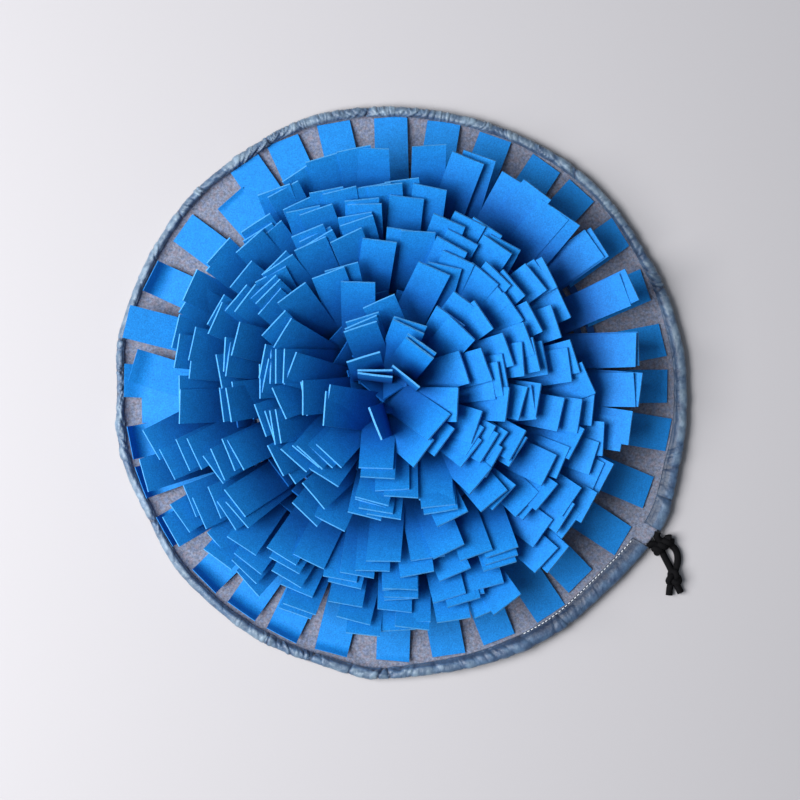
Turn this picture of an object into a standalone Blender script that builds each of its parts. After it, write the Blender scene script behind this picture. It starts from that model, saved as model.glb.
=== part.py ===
"""A round snuffle mat: a felt base with a drawn-up rim, rings of felt tabs, and a drawcord.

Everything is in metres, +Z up. The origin is the middle of the mat, on the surface it lies on,
and +Y is the top of the mat as seen from above. Azimuths are degrees anticlockwise from +X.
"""

import math
import random

import bmesh
import bpy
from mathutils import Matrix, Vector

MM = 0.001
GAP = 0.3 * MM                # between pieces that lie on each other
MAT_PLACE = Vector((0.55 * MM, -2.05 * MM, 0.0))   # puts the middle of the mat's box on the origin

# --- felt base -----------------------------------------------------------------------------
FELT_THICK = 2.5 * MM
LEAST_CURL = 8 * MM           # length of felt that bends between the flat and the rim
CASING_LIFT = 1.9 * MM        # room that the rim leaves under itself for the casing
BARE_RIM = 1.5 * MM           # straight felt between the curl and the casing

# --- rim and casing, read every few degrees round the edge ------------------------------------
# azimuth (deg), outer radius (mm), tilt of the rim (deg), width of the casing (mm)
RIM = (
    (5, 225.8, 63, 11.5),
    (22, 225.4, 68, 11.5),
    (45, 224.6, 68, 11.0),
    (65, 225.6, 68, 11.0),
    (90, 227.7, 72, 11.0),
    (110, 230.0, 74, 11.0),
    (135, 230.0, 78, 11.5),
    (149, 227.7, 76, 11.5),
    (165, 228.0, 54, 10.5),
    (179, 227.0, 66, 11.0),
    (193, 230.0, 78, 11.5),
    (205, 226.0, 78, 11.5),
    (225, 226.2, 78, 11.5),
    (240, 226.2, 76, 11.5),
    (256, 225.4, 68, 12.0),
    (275, 223.8, 50, 12.0),
    (290, 224.6, 42, 12.5),
    (305, 227.2, 20, 13.0),
    (325, 228.5, 13, 13.0),
    (335, 231.5, 14, 13.0),
    (344, 230.4, 28, 13.0),
    (354, 228.0, 46, 12.5),
)
CASING_START = 331.8          # azimuths between which the casing runs, the long way round
CASING_END = 687.8
EDGE_STATIONS = 120           # points round the felt's edge, and along the casing
SLOT_GAP = 0.7 * MM          # between the felt and the casing folded over it
CASING_CLOTH = 1.1 * MM       # the folded cloth, seam and all
CASING_PUFF = 0.9 * MM        # how far the channel for the cord stands out over the cloth
CASING_NOSE = 3.4 * MM        # from the felt's edge to the casing's outer edge
PUCKER = 1.5 * MM             # height of the gathers where they bunch most
BUNCHED_MOST = 170.0          # that azimuth
LEAST_BUNCHED = 0.45          # share of the height that they keep opposite it

# --- fringe -------------------------------------------------------------------------------------
TAB_WIDTH = 26 * MM
TAB_THICK = 2.0 * MM
TAB_LENGTH = 64 * MM
TAB_STEPS = 12                # steps in which a tab's curve is added up
BAND_HEIGHT = 3.0 * MM
FIRST_RING = 156.0 * MM       # radius of the outermost ring, whose tabs lie flat
RING_STEP = 10.0 * MM
RING_COUNT = 16
LAST_RING = 7.0 * MM          # the two upright tabs in the middle
ROOT_PITCH = 28.0 * MM        # a tab and the slit beside it, at the root
FIRST_RING_TABS = 33
FIRST_RING_CENTRE = Vector((-3.2 * MM, 2.8 * MM))
LAST_RING_CENTRE = Vector((-15.5 * MM, 14.5 * MM))
DROOP = 0.6                   # how much of its slope a tab loses between root and tip
STEEPEST_ROOT = math.radians(93.0)
TURN_SPREAD = 2.5             # degrees a tab may turn away from straight out
REACH_SPREAD = 0.5 * MM
LENGTH_SPREAD = 1.5 * MM
RIM_CLEARANCE = 1.4 * MM      # between the flat tabs' tips and the standing rim
# How far the tabs reach outwards from their roots, in mm, at five rings from rim to middle,
# and the slope of the flat tabs of the first ring.
# azimuth (deg), first, second, outer, middle, inner ring (mm), first ring's slope (deg)
LEAN = (
    (15, 60.0, 42, 12, 13, 27, 2.5),
    (45, 58.0, 42, 12, 15, 27, 2.5),
    (75, 60.0, 41, 20, 28, 30, 3.0),
    (105, 61.0, 38, 25, 33, 30, 3.5),
    (135, 58.0, 34, 32, 36, 34, 3.5),
    (157, 60.0, 34, 33, 30, 31, 4.0),
    (166, 68.0, 36, 34, 29, 31, 16.0),
    (175, 60.0, 42, 36, 29, 33, 4.0),
    (195, 62.0, 50, 41, 32, 37, 3.5),
    (225, 62.0, 50, 44, 33, 40, 3.5),
    (255, 59.0, 41, 34, 29, 38, 3.0),
    (285, 56.0, 37, 27, 25, 32, 2.5),
    (315, 57.0, 31, 24, 20, 27, 2.5),
    (345, 59.0, 33, 18, 16, 25, 2.5),
)
OVER_THE_RIM = math.radians(10.0)   # a first tab steeper than this passes over the casing
TAB_ANGLE = 3.5               # half of a flat tab's width at the rim, in degrees
LEAN_RINGS = (156.0, 146.0, 121.0, 81.0, 41.0, 7.0)   # radii (mm) of the LEAN columns
MIDDLE_REACH = 5.0            # mm, the upright tabs of the last ring

# --- drawcord -------------------------------------------------------------------------------------
CORD = 4.5 * MM
CORD_Z = 2.5 * MM
# Each stretch of cord lies on the floor along these points, in mm from the middle of the mat.
CORD_ROUTES = {
    "cord_exit_a": ((193.3, -120.5, 6.0), (194.9, -119.0, 6.0), (197.1, -118.2, 5.6),
                    (198.8, -118.8, 5.2)),
    "cord_exit_b": ((201.5, -109.2, 6.2), (200.7, -111.3, 6.0), (200.9, -113.4, 5.6),
                    (202.8, -115.4, 5.2)),
    "cord_strand_a": ((205.2, -126.0, 3.4), (208.0, -130.8, 2.6), (210.7, -135.6, 2.5),
                      (212.3, -141.3, 2.7)),
    "cord_strand_b": ((213.3, -120.1, 3.4), (217.6, -124.4, 2.6), (219.6, -129.6, 2.5),
                      (219.2, -135.0, 2.5), (217.4, -139.8, 2.6)),
    "cord_tail_a": ((212.8, -151.4, 3.0), (212.0, -156.6, 2.5), (212.4, -161.4, 2.5)),
    "cord_tail_b": ((217.8, -152.5, 2.8), (219.4, -156.2, 2.5), (220.6, -159.4, 2.5)),
}
# Each knot is turns of cord round its axis: offset along the axis and radius of each turn (mm).
HALF_KNOT = ((-6.0, 2.2), (-2.0, 2.3), (2.0, 2.3), (6.0, 2.2))
END_KNOT = ((-2.8, 3.6), (1.8, 3.9))
HALF_KNOT_CENTRE = Vector((206.4 * MM, -119.4 * MM, 4.8 * MM))
HALF_KNOT_AXIS = 38.0         # azimuth of the knot's axis
END_KNOT_CENTRE = Vector((214.8 * MM, -146.9 * MM, 6.4 * MM))
END_KNOT_AXIS = 275.0
TURN_LEAN = 20.0              # degrees that each turn leans off the knot's axis
KNOT_CORE = 0.55 * CORD       # radius of the core that joins a knot's turns
CORE_OVERHANG = 0.6 * CORD    # how far the core runs past the turns, both ends together
ROUTE_SPACING = 2.0 * MM      # between the points of a stretch of cord

SEED = 27


# --- materials ------------------------------------------------------------------------------------
def material(name, colour, roughness):
    found = bpy.data.materials.get(name)
    if found:
        return found
    made = bpy.data.materials.new(name)
    made.use_nodes = True
    shader = made.node_tree.nodes["Principled BSDF"]
    shader.inputs["Base Color"].default_value = (*colour, 1.0)
    shader.inputs["Roughness"].default_value = roughness
    shader.inputs["Metallic"].default_value = 0.0
    return made


def blue_felt():
    return material("blue_felt", (0.01, 0.20, 0.72), 0.95)


def grey_felt():
    return material("grey_felt", (0.29, 0.25, 0.26), 0.97)


def casing_cloth():
    return material("casing_cloth", (0.24, 0.36, 0.44), 0.45)


def black_cord():
    return material("black_cord", (0.008, 0.008, 0.010), 0.75)


# --- helpers ---------------------------------------------------------------------------------------
def keep(name, mesh, finish):
    """Puts a mesh in the mat's collection as a named object with its material."""
    mesh.materials.append(finish)
    return put(bpy.data.objects.new(name, mesh))


def put(placed):
    """Links an object to the mat's collection, under the empty that places the mat."""
    bpy.data.collections["snuffle_mat"].objects.link(placed)
    placed.parent = bpy.data.objects["mat_place"]
    return placed


def mesh_from(bm, name):
    bmesh.ops.recalc_face_normals(bm, faces=bm.faces)
    mesh = bpy.data.meshes.new(name)
    bm.to_mesh(mesh)
    bm.free()
    return mesh


def read_round(table, azimuth, smooth=False):
    """A table's row at this azimuth, read straight or on a smooth curve through its rows, which
    goes on past 360 degrees."""
    azimuth %= 360.0
    rows = [(row[0] + 360.0 * lap, *row[1:]) for lap in (-1, 0, 1) for row in table]
    place = next(i for i in range(len(rows)) if azimuth < rows[i + 1][0])
    before, start, end, after = rows[place - 1:place + 3]
    span = end[0] - start[0]
    t = (azimuth - start[0]) / span
    values = []
    for k in range(1, len(start)):
        if not smooth:
            values.append(start[k] + (end[k] - start[k]) * t)
            continue
        rise_in = (end[k] - before[k]) / (end[0] - before[0]) * span
        rise_out = (after[k] - start[k]) / (after[0] - start[0]) * span
        values.append(
            start[k] * (1 + 2 * t) * (1 - t) ** 2 + rise_in * t * (1 - t) ** 2
            + end[k] * t * t * (3 - 2 * t) - rise_out * t * t * (1 - t)
        )
    return values


def edge_azimuths():
    """The stations round the edge, from one end of the casing to the other."""
    step = (CASING_END - CASING_START) / (EDGE_STATIONS - 1)
    return [CASING_START + step * k for k in range(EDGE_STATIONS)]


def outward(azimuth):
    return Vector((math.cos(math.radians(azimuth)), math.sin(math.radians(azimuth)), 0.0))


# --- felt base --------------------------------------------------------------------------------------
def rim_path(azimuth):
    """The felt's underside at one azimuth: (radius, height) points from where it leaves the floor
    to its edge, and the tilt there. It bends up on an arc and runs straight inside the casing."""
    outer, tilt, width = read_round(RIM, azimuth, smooth=True)
    tilt = math.radians(tilt)
    curl = max(LEAST_CURL, CASING_LIFT * tilt / (1.0 - math.cos(tilt)))
    radius = curl / tilt
    edge = outer * MM - CASING_NOSE * math.cos(tilt) - (CASING_CLOTH + SLOT_GAP) * math.sin(tilt)
    straight = width * MM + BARE_RIM
    start = edge - straight * math.cos(tilt) - radius * math.sin(tilt)
    points = [(start, 0.0)]
    for share in (1 / 3, 2 / 3, 1.0):
        angle = tilt * share
        points.append((start + radius * math.sin(angle), radius * (1.0 - math.cos(angle))))
    last = points[-1]
    points.append((last[0] + straight * math.cos(tilt), last[1] + straight * math.sin(tilt)))
    return points, tilt


def felt_base():
    """A disc of points whose rim follows rim_path, given its thickness by Solidify."""
    bm = bmesh.new()
    middle = bm.verts.new((0.0, 0.0, 0.0))
    rows = []
    for azimuth in edge_azimuths():
        profile, _ = rim_path(azimuth)
        rows.append([bm.verts.new(outward(azimuth) * r + Vector((0, 0, z))) for r, z in profile])
    for row, following in zip(rows, rows[1:] + rows[:1]):
        bm.faces.new((middle, row[0], following[0]))
        for k in range(len(row) - 1):
            bm.faces.new((row[k], row[k + 1], following[k + 1], following[k]))
    made = keep("felt_base", mesh_from(bm, "felt_base"), grey_felt())
    made.data.shade_smooth()
    thickness = made.modifiers.new("felt thickness", "SOLIDIFY")
    thickness.thickness = FELT_THICK
    up = sum(face.normal.z for face in made.data.polygons) > 0
    thickness.offset = 1.0 if up else -1.0
    return made


# --- casing -----------------------------------------------------------------------------------------
def pucker_height(azimuth, draw):
    """Gathers bunch at the top left, left and bottom left, and lie nearly flat at the cord."""
    nearness = math.cos(math.radians(azimuth - BUNCHED_MOST) / 2) ** 2
    return PUCKER * (LEAST_BUNCHED + (1.0 - LEAST_BUNCHED) * nearness) * draw


def casing_section(width, lift):
    """The folded cloth's outline round the felt's edge: (along, across) from the edge's middle."""
    inside = FELT_THICK / 2 + SLOT_GAP
    cloth = inside + CASING_CLOTH
    puffed = cloth + CASING_PUFF * 0.5 + lift
    return (
        (-width, inside),
        (-width, cloth),
        (-width * 0.55, puffed),
        (0.6 * MM, puffed - 0.5 * MM),
        (CASING_NOSE + 0.5 * lift, 0.2 * MM),
        (1.4 * MM, -cloth + 0.5 * MM),
        (-width * 0.4, -cloth - CASING_PUFF * 0.2),
        (-width, -cloth),
        (-width, -inside),
        (SLOT_GAP, -inside),
        (SLOT_GAP, inside),
    )


def edge_casing():
    """The gathered tube: its section carried round the felt's edge, every other one puckered."""
    random.seed(SEED)
    bm = bmesh.new()
    loops = []
    for station, azimuth in enumerate(edge_azimuths()):
        points, tilt = rim_path(azimuth)
        width = read_round(RIM, azimuth, smooth=True)[2] * MM
        draw = random.uniform(0.2, 1.0) if station % 2 else -random.uniform(0.1, 0.6)
        along = (math.cos(tilt), math.sin(tilt))
        across = (-math.sin(tilt), math.cos(tilt))
        middle = [points[-1][i] + across[i] * FELT_THICK / 2 for i in (0, 1)]
        loop = []
        for x, y in casing_section(width, pucker_height(azimuth, draw)):
            radius = middle[0] + along[0] * x + across[0] * y
            height = middle[1] + along[1] * x + across[1] * y
            loop.append(bm.verts.new(outward(azimuth) * radius + Vector((0, 0, height))))
        loops.append(loop)
    for first, second in zip(loops, loops[1:]):
        for k in range(len(first)):
            n = (k + 1) % len(first)
            bm.faces.new((first[k], first[n], second[n], second[k]))
    ends = [bm.faces.new(loops[0]), bm.faces.new(loops[-1])]
    bmesh.ops.triangulate(bm, faces=ends)
    made = keep("edge_casing", mesh_from(bm, "edge_casing"), casing_cloth())
    made.data.shade_smooth()
    made.data.set_sharp_from_angle(angle=math.radians(50.0))
    return made


# --- fringe ------------------------------------------------------------------------------------------
def ring_radius(ring):
    return LAST_RING if ring == RING_COUNT - 1 else FIRST_RING - RING_STEP * ring


def ring_centre(radius):
    """The rings close in on a point up and left of the mat's middle."""
    inward = (1.0 - radius / FIRST_RING) ** 2
    return FIRST_RING_CENTRE.lerp(LAST_RING_CENTRE, inward)


def reach_at(radius, azimuth):
    """How far outwards the tabs lean here, read between the columns of LEAN, in metres."""
    columns = [*read_round(LEAN, azimuth)[:5], MIDDLE_REACH]
    radius /= MM
    for k in range(len(LEAN_RINGS) - 1):
        outer, inner = LEAN_RINGS[k], LEAN_RINGS[k + 1]
        if radius >= inner:
            share = min(max((outer - radius) / (outer - inner), 0.0), 1.0)
            return (columns[k] + (columns[k + 1] - columns[k]) * share) * MM
    return MIDDLE_REACH * MM


def tab_slopes(reach, length):
    """Slopes at root and tip of a tab that droops evenly and reaches this far outwards."""
    mean = math.acos(reach / length)
    for _ in range(8):
        half = DROOP * mean / 2
        mean = math.acos(reach / length * half / math.sin(half))
    root = min(mean * (1.0 + DROOP / 2), STEEPEST_ROOT)
    return root, 2 * mean - root


def rim_room(azimuth):
    """Radius that a flat tab may reach before it meets the standing rim or its casing."""
    points, tilt = rim_path(azimuth)
    wall = (FELT_THICK + SLOT_GAP + CASING_CLOTH) * math.sin(tilt)
    return points[-2][0] - wall - RIM_CLEARANCE


def tab_sections(root, azimuth, slopes, length, turn, count):
    """Middle, side and thickness directions of each section above the root, along the tab."""
    sections = []
    point = root.copy()
    for step in range(1, TAB_STEPS + 1):
        share = (step - 0.5) / TAB_STEPS
        slope = slopes[0] + (slopes[1] - slopes[0]) * share
        way = outward(azimuth + turn * share)
        along = way * math.cos(slope) + Vector((0, 0, math.sin(slope)))
        point = point + along * length / TAB_STEPS
        if step % (TAB_STEPS // count):
            continue
        share = step / TAB_STEPS
        slope = slopes[0] + (slopes[1] - slopes[0]) * share
        way = outward(azimuth + turn * share)
        side = Vector((-way.y, way.x, 0.0))
        thick = way * math.sin(slope) - Vector((0, 0, math.cos(slope)))
        sections.append((point.copy(), side, thick))
    return sections


def extrude_tab(bm, face, frame, sections):
    """Extrudes one face of the band along the sections. frame is (middle, side, thickness)."""
    middle, side, thick = frame
    for point, next_side, next_thick in sections:
        signs = [
            (math.copysign(1, (vert.co - middle).dot(side)),
             math.copysign(1, (vert.co - middle).dot(thick)))
            for vert in face.verts
        ]
        face = bmesh.ops.extrude_discrete_faces(bm, faces=[face])["faces"][0]
        for vert, (a, b) in zip(face.verts, signs):
            vert.co = point + next_side * (a * TAB_WIDTH / 2) + next_thick * (b * TAB_THICK / 2)
        middle, side, thick = point, next_side, next_thick


def fringe_ring(ring):
    """One comb of felt: a narrow band on the base, and a tab from each long face of it."""
    random.seed(SEED + ring)
    radius = ring_radius(ring)
    centre = ring_centre(radius).to_3d()
    centre.z = FELT_THICK + GAP
    tabs = FIRST_RING_TABS if ring == 0 else max(2, round(2 * math.pi * radius / ROOT_PITCH))
    phase = 2.5 if ring == 0 else random.uniform(0, 360.0 / tabs)
    azimuths = [phase + 360.0 * k / tabs for k in range(tabs)]
    bm = bmesh.new()
    corners = []
    bend = math.radians(90.0 / tabs)   # half of the turn from a tab to the slit beside it
    half_thick = TAB_THICK / 2
    for azimuth in azimuths:
        way = outward(azimuth)
        side = Vector((-way.y, way.x, 0.0))
        for sign in (-1, 1):
            mitre = (way + side * sign * math.tan(bend)) * half_thick
            corner = centre + way * (radius + half_thick) + side * sign * TAB_WIDTH / 2 - mitre
            corners.append((bm.verts.new(corner - mitre), bm.verts.new(corner + mitre)))
    strip = [
        bm.faces.new((a[0], a[1], b[1], b[0]))
        for a, b in zip(corners, corners[1:] + corners[:1])
    ]
    lifted = bmesh.ops.extrude_face_region(bm, geom=strip)["geom"]
    bmesh.ops.translate(
        bm, vec=(0, 0, BAND_HEIGHT), verts=[v for v in lifted if isinstance(v, bmesh.types.BMVert)]
    )
    bmesh.ops.recalc_face_normals(bm, faces=bm.faces)
    for azimuth in azimuths:
        grow_tab(bm, ring, centre, radius, azimuth)
    name = f"felt_fringe_{ring + 1:02d}"
    return keep(name, mesh_from(bm, name), blue_felt())


def grow_tab(bm, ring, centre, radius, azimuth):
    way = outward(azimuth)
    side = Vector((-way.y, way.x, 0.0))
    turn = random.uniform(-TURN_SPREAD, TURN_SPREAD)
    length = TAB_LENGTH + random.uniform(-LENGTH_SPREAD, LENGTH_SPREAD)
    reach = reach_at(radius, azimuth) + random.uniform(-REACH_SPREAD, REACH_SPREAD)
    if ring == 0:
        slope = math.radians(read_round(LEAN, azimuth)[5])
        root = centre + way * (radius + TAB_THICK / 2) + Vector((0, 0, BAND_HEIGHT / 2))
        frame = (root, side, Vector((0, 0, 1)))
        if slope < OVER_THE_RIM:
            room = min(rim_room(azimuth + edge) for edge in (-TAB_ANGLE, 0.0, TAB_ANGLE))
            reach = min(reach, room - root.xy.length)
        sections = tab_sections(root, azimuth, (slope, slope), reach, turn * 0.3, 1)
        sections = [(point, across, -thick) for point, across, thick in sections]
    else:
        root = centre + way * radius + Vector((0, 0, BAND_HEIGHT))
        frame = (root, side, way)
        slopes = tab_slopes(reach, length)
        sections = tab_sections(root, azimuth, slopes, length, turn, 2)
    face = min(bm.faces, key=lambda f: (f.calc_center_median() - root).length)
    extrude_tab(bm, face, frame, sections)


# --- drawcord ------------------------------------------------------------------------------------------
def smooth_route(points, spacing):
    """Points at an even spacing along a smooth curve through the route's own points."""
    points = [Vector(p) * MM for p in points]
    ends = [points[0] * 2 - points[1], *points, points[-1] * 2 - points[-2]]
    path = []
    for a, b, c, d in zip(ends, ends[1:], ends[2:], ends[3:]):
        steps = max(2, round((c - b).length / spacing))
        for step in range(steps):
            t = step / steps
            path.append(
                0.5 * (2 * b + (c - a) * t + (2 * a - 5 * b + 4 * c - d) * t * t
                       + (3 * b - a - 3 * c + d) * t ** 3)
            )
    return [*path, points[-1]]


def cord_piece(name, points):
    path = smooth_route(points, ROUTE_SPACING)
    curve = bpy.data.curves.new(name, "CURVE")
    curve.dimensions = "3D"
    curve.bevel_depth = CORD / 2
    curve.bevel_resolution = 2
    curve.use_fill_caps = True
    spline = curve.splines.new("POLY")
    spline.points.add(len(path) - 1)
    for point, place in zip(spline.points, path):
        point.co = (*place, 1.0)
    curve.materials.append(black_cord())
    return put(bpy.data.objects.new(name, curve))


def knot(name, turns, centre, axis):
    """Turns of cord side by side round a core along the axis, joined into one lump."""
    cutters = bpy.data.collections["knot_turns"]
    core_bm = bmesh.new()
    length = (turns[-1][0] - turns[0][0]) * MM
    bmesh.ops.create_cone(
        core_bm, cap_ends=True, segments=10, radius1=KNOT_CORE, radius2=KNOT_CORE,
        depth=length + CORE_OVERHANG,
    )
    along = Matrix.Rotation(math.radians(axis), 4, "Z") @ Matrix.Rotation(math.radians(90), 4, "Y")
    place = Matrix.Translation(centre) @ along
    bmesh.ops.transform(core_bm, matrix=place, verts=core_bm.verts)
    made = keep(name, mesh_from(core_bm, name), black_cord())
    for number, (offset, radius) in enumerate(turns):
        bpy.ops.mesh.primitive_torus_add(
            major_radius=radius * MM, minor_radius=CORD / 2, major_segments=14, minor_segments=8
        )
        turn = bpy.context.object
        turn.name = f"{name}_turn_{number + 1}"
        lean = Matrix.Rotation(math.radians(TURN_LEAN if number % 2 else -TURN_LEAN), 4, "X")
        shift = Matrix.Translation((0, 0, offset * MM))
        turn.matrix_world = place @ shift @ lean
        for holder in list(turn.users_collection):
            holder.objects.unlink(turn)
        cutters.objects.link(turn)
        turn.parent = bpy.data.objects["mat_place"]
        turn.hide_render = True
        turn.display_type = "WIRE"
        join = made.modifiers.new(f"turn {number + 1}", "BOOLEAN")
        join.operation = "UNION"
        join.object = turn
    return made


def drawcord():
    for name, points in CORD_ROUTES.items():
        cord_piece(name, points)
    knot("cord_half_knot", HALF_KNOT, HALF_KNOT_CENTRE, HALF_KNOT_AXIS)
    knot("cord_end_knot", END_KNOT, END_KNOT_CENTRE, END_KNOT_AXIS)


def main():
    for old in list(bpy.data.objects):
        bpy.data.objects.remove(old, do_unlink=True)
    for name in ("snuffle_mat", "knot_turns"):
        collection = bpy.data.collections.new(name)
        bpy.context.scene.collection.children.link(collection)
    place = bpy.data.objects.new("mat_place", None)
    place.location = MAT_PLACE
    bpy.data.collections["snuffle_mat"].objects.link(place)
    felt_base()
    edge_casing()
    for ring in range(RING_COUNT):
        fringe_ring(ring)
    drawcord()


if __name__ == "__main__":
    main()
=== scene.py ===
"""Looks of a round snuffle mat: felt base with a gathered rim, rows of felt tabs, and a drawcord.

Lengths are metres. The origin is the middle of the mat's box on the floor, +Z is up, and azimuths
are degrees anticlockwise from +X as seen from above.
"""

import math

import bmesh
import bpy
import numpy as np
from bpy.props import FloatProperty, FloatVectorProperty, IntProperty, PointerProperty
from bpy.types import Operator, Panel, PropertyGroup
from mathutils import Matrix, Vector


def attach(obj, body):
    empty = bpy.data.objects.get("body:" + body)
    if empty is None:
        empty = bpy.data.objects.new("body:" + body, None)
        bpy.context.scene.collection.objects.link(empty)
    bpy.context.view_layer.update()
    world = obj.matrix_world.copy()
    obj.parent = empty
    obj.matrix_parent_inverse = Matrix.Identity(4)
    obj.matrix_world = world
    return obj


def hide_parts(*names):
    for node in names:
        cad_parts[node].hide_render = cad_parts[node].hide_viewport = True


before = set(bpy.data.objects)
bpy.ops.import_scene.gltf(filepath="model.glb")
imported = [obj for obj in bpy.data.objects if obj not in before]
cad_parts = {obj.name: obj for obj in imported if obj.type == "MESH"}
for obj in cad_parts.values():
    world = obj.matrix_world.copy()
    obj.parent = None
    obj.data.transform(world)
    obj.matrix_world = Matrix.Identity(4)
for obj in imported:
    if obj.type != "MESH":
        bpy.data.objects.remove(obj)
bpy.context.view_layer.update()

bl_info = {
    "name": "Snuffle Mat",
    "version": (1, 0, 0),
    "blender": (4, 5, 0),
    "location": "3D View > Sidebar > Snuffle Mat",
    "description": "Builds a round snuffle mat of felt tabs with a gathered rim and a drawcord",
    "category": "Add Mesh",
}

MM = 0.001
MAT_PLACE = np.array((0.55, -2.05, 0.0)) * MM   # the mat's middle, round which its parts lie
FLOOR_SIZE = 6.0                                # metres
CAMERA_PLACE = (-1.42 * MM, -7.55 * MM)         # the point that the camera is over
SENSOR_WIDTH = 36.0                             # mm

# --- rim -----------------------------------------------------------------------------------------
# azimuth (deg), outer radius (mm), tilt of the rim (deg), width of the casing (mm)
RIM = (
    (8, 224.9, 24, 8.2), (15, 223.9, 28, 7.8), (22.5, 223.4, 32, 7.0), (30, 222.2, 36, 6.2),
    (38, 223.0, 39, 5.8), (48, 224.4, 41, 5.6), (67, 223.8, 43, 5.6), (80, 224.2, 45, 5.6),
    (90, 225.6, 46, 5.6), (110, 230.0, 44, 5.4), (124, 228.2, 40, 5.0), (137, 229.4, 34, 4.7),
    (149, 228.0, 28, 4.6), (162, 228.0, 26, 4.6), (170, 229.2, 26, 4.8), (179, 226.2, 26, 4.6),
    (192, 228.4, 26, 4.8), (205, 224.4, 26, 4.8), (218, 226.6, 26, 5.0), (226, 226.1, 28, 5.4),
    (240, 226.0, 34, 6.2), (254, 225.0, 36, 6.6), (264, 227.0, 36, 7.0), (275, 223.6, 34, 8.0),
    (290, 224.2, 28, 9.6), (303, 225.4, 20, 10.8), (314, 224.4, 16, 11.6), (320, 225.8, 14, 12.0),
    (326, 228.2, 13, 12.0), (332, 231.0, 13, 12.0), (336, 230.8, 14, 11.6), (340, 228.8, 18, 11.0),
    (345, 226.4, 21, 10.2), (351, 226.2, 22, 9.2), (358, 225.0, 23, 8.4),
)
FELT_THICK = 2.5 * MM
LEAST_CURL = 6.5 * MM         # felt that bends between the flat and the rim
CASING_LIFT = 1.9 * MM        # room that the rim leaves under itself for the casing
BARE_RIM = 1.5 * MM           # straight felt between the curl and the casing
CASING_ENDS = (331.8, 687.8)  # azimuths between which the casing runs, the long way round
CASING_CLOTH = 1.1 * MM
SLOT_GAP = 0.7 * MM           # between the felt and the casing folded over it
NOSE_SHARE = 0.235            # how far the casing's nose stands past the felt, of its width
NOSE_SPARE = 0.6 * MM         # and what its gathers add
CASING_HEIGHT = 4.8 * MM      # of its top over the felt's underside
CASING_STATIONS = 2600        # outlines along the casing
OUTLINE_WIDTH = 12.0          # mm, the casing's width that its outline's normals are for
LEVEL_SHARE = 0.8             # how much of a fold shows along the width, against its height
CORD_SWELL = 0.5              # mm that the cord inside raises its channel
FLOOR_GAP = 0.2 * MM          # the least height of the casing over the floor
RIM_RADIUS = 226.0            # mm, by which the gathers are counted along the rim
# azimuth (deg), spacing and height of the gathers (mm), height of the slow lumps (mm), how far the
# cloth puffs up over its usual, and how much painted shade darkens its inner part
GATHERS = (
    (0, 9.0, 0.8, 0.5, 1.00, 0.66), (30, 7.0, 1.0, 0.5, 1.00, 0.60),
    (60, 5.0, 1.2, 0.5, 1.05, 0.52), (85, 4.4, 1.4, 0.7, 1.10, 0.42),
    (110, 5.0, 1.3, 0.7, 1.10, 0.25), (132, 6.0, 1.3, 0.8, 1.15, 0.25),
    (148, 12.0, 0.8, 0.8, 1.15, 0.20), (158, 14.0, 0.9, 1.1, 1.15, 0.15),
    (168, 9.0, 1.2, 2.1, 1.15, 0.10), (182, 9.0, 1.3, 2.1, 1.15, 0.10),
    (192, 12.0, 1.1, 1.6, 1.15, 0.10), (203, 17.0, 1.0, 1.2, 1.15, 0.15),
    (218, 17.0, 1.0, 1.1, 1.15, 0.30), (236, 15.0, 1.0, 0.9, 1.10, 0.42),
    (246, 10.0, 1.2, 0.8, 1.05, 0.48), (251, 6.5, 1.4, 0.8, 1.05, 0.52),
    (257, 13.0, 1.0, 0.7, 1.00, 0.55), (265, 5.8, 1.4, 0.7, 1.00, 0.55),
    (272, 12.0, 1.0, 0.7, 1.00, 0.70), (290, 13.0, 1.0, 0.6, 1.00, 0.84),
    (302, 14.0, 0.8, 0.5, 1.00, 0.90), (326, 14.0, 0.7, 0.4, 1.00, 0.88),
    (344, 12.0, 0.8, 0.4, 1.00, 0.78),
)
LUMP_SPACING = 17.0           # mm from one slow lump to the next
WRINKLE_SPACING = 12.0        # mm from one long wrinkle to the next
GATHER_SLANT, CREASE_SLANT, WRINKLE_SLANT = 13.0, 9.0, 28.0   # mm along the rim, at most
CREASE_COUNT = 2.1            # fine creases to a gather
# azimuth (deg) and depth (mm) of the sharp folds that pinch the casing
PINCHES = (
    (169.3, 1.7), (175.5, 2.0), (180.1, 2.2), (241.4, 1.2), (250.7, 2.2), (259.2, 1.4),
    (265.2, 2.0), (267.3, 1.6), (338.2, 1.2), (22.0, 1.0), (52.0, 1.0), (97.0, 1.6),
    (118.0, 1.6), (141.0, 1.6), (207.0, 1.0),
)
PINCH_WIDTH = 2.2             # mm, where a fold is half as deep
PINCH_SLANT = 5.0             # mm along the rim, at most
STITCH_SPAN = (297.0, 327.0)  # azimuths where the casing lies flat enough to show its stitches
STITCH_LENGTH, STITCH_THICK = 2.3 * MM, 0.84 * MM
STITCH_LIFT = FELT_THICK + CASING_CLOTH + 1.05 * MM   # over the felt's underside
HEM_SHARE = 0.90              # how far in from the felt's edge they run, of the casing's width
HEM_RADIUS = 215.0 * MM       # the stitches' circle, by which their pitch is counted

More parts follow.
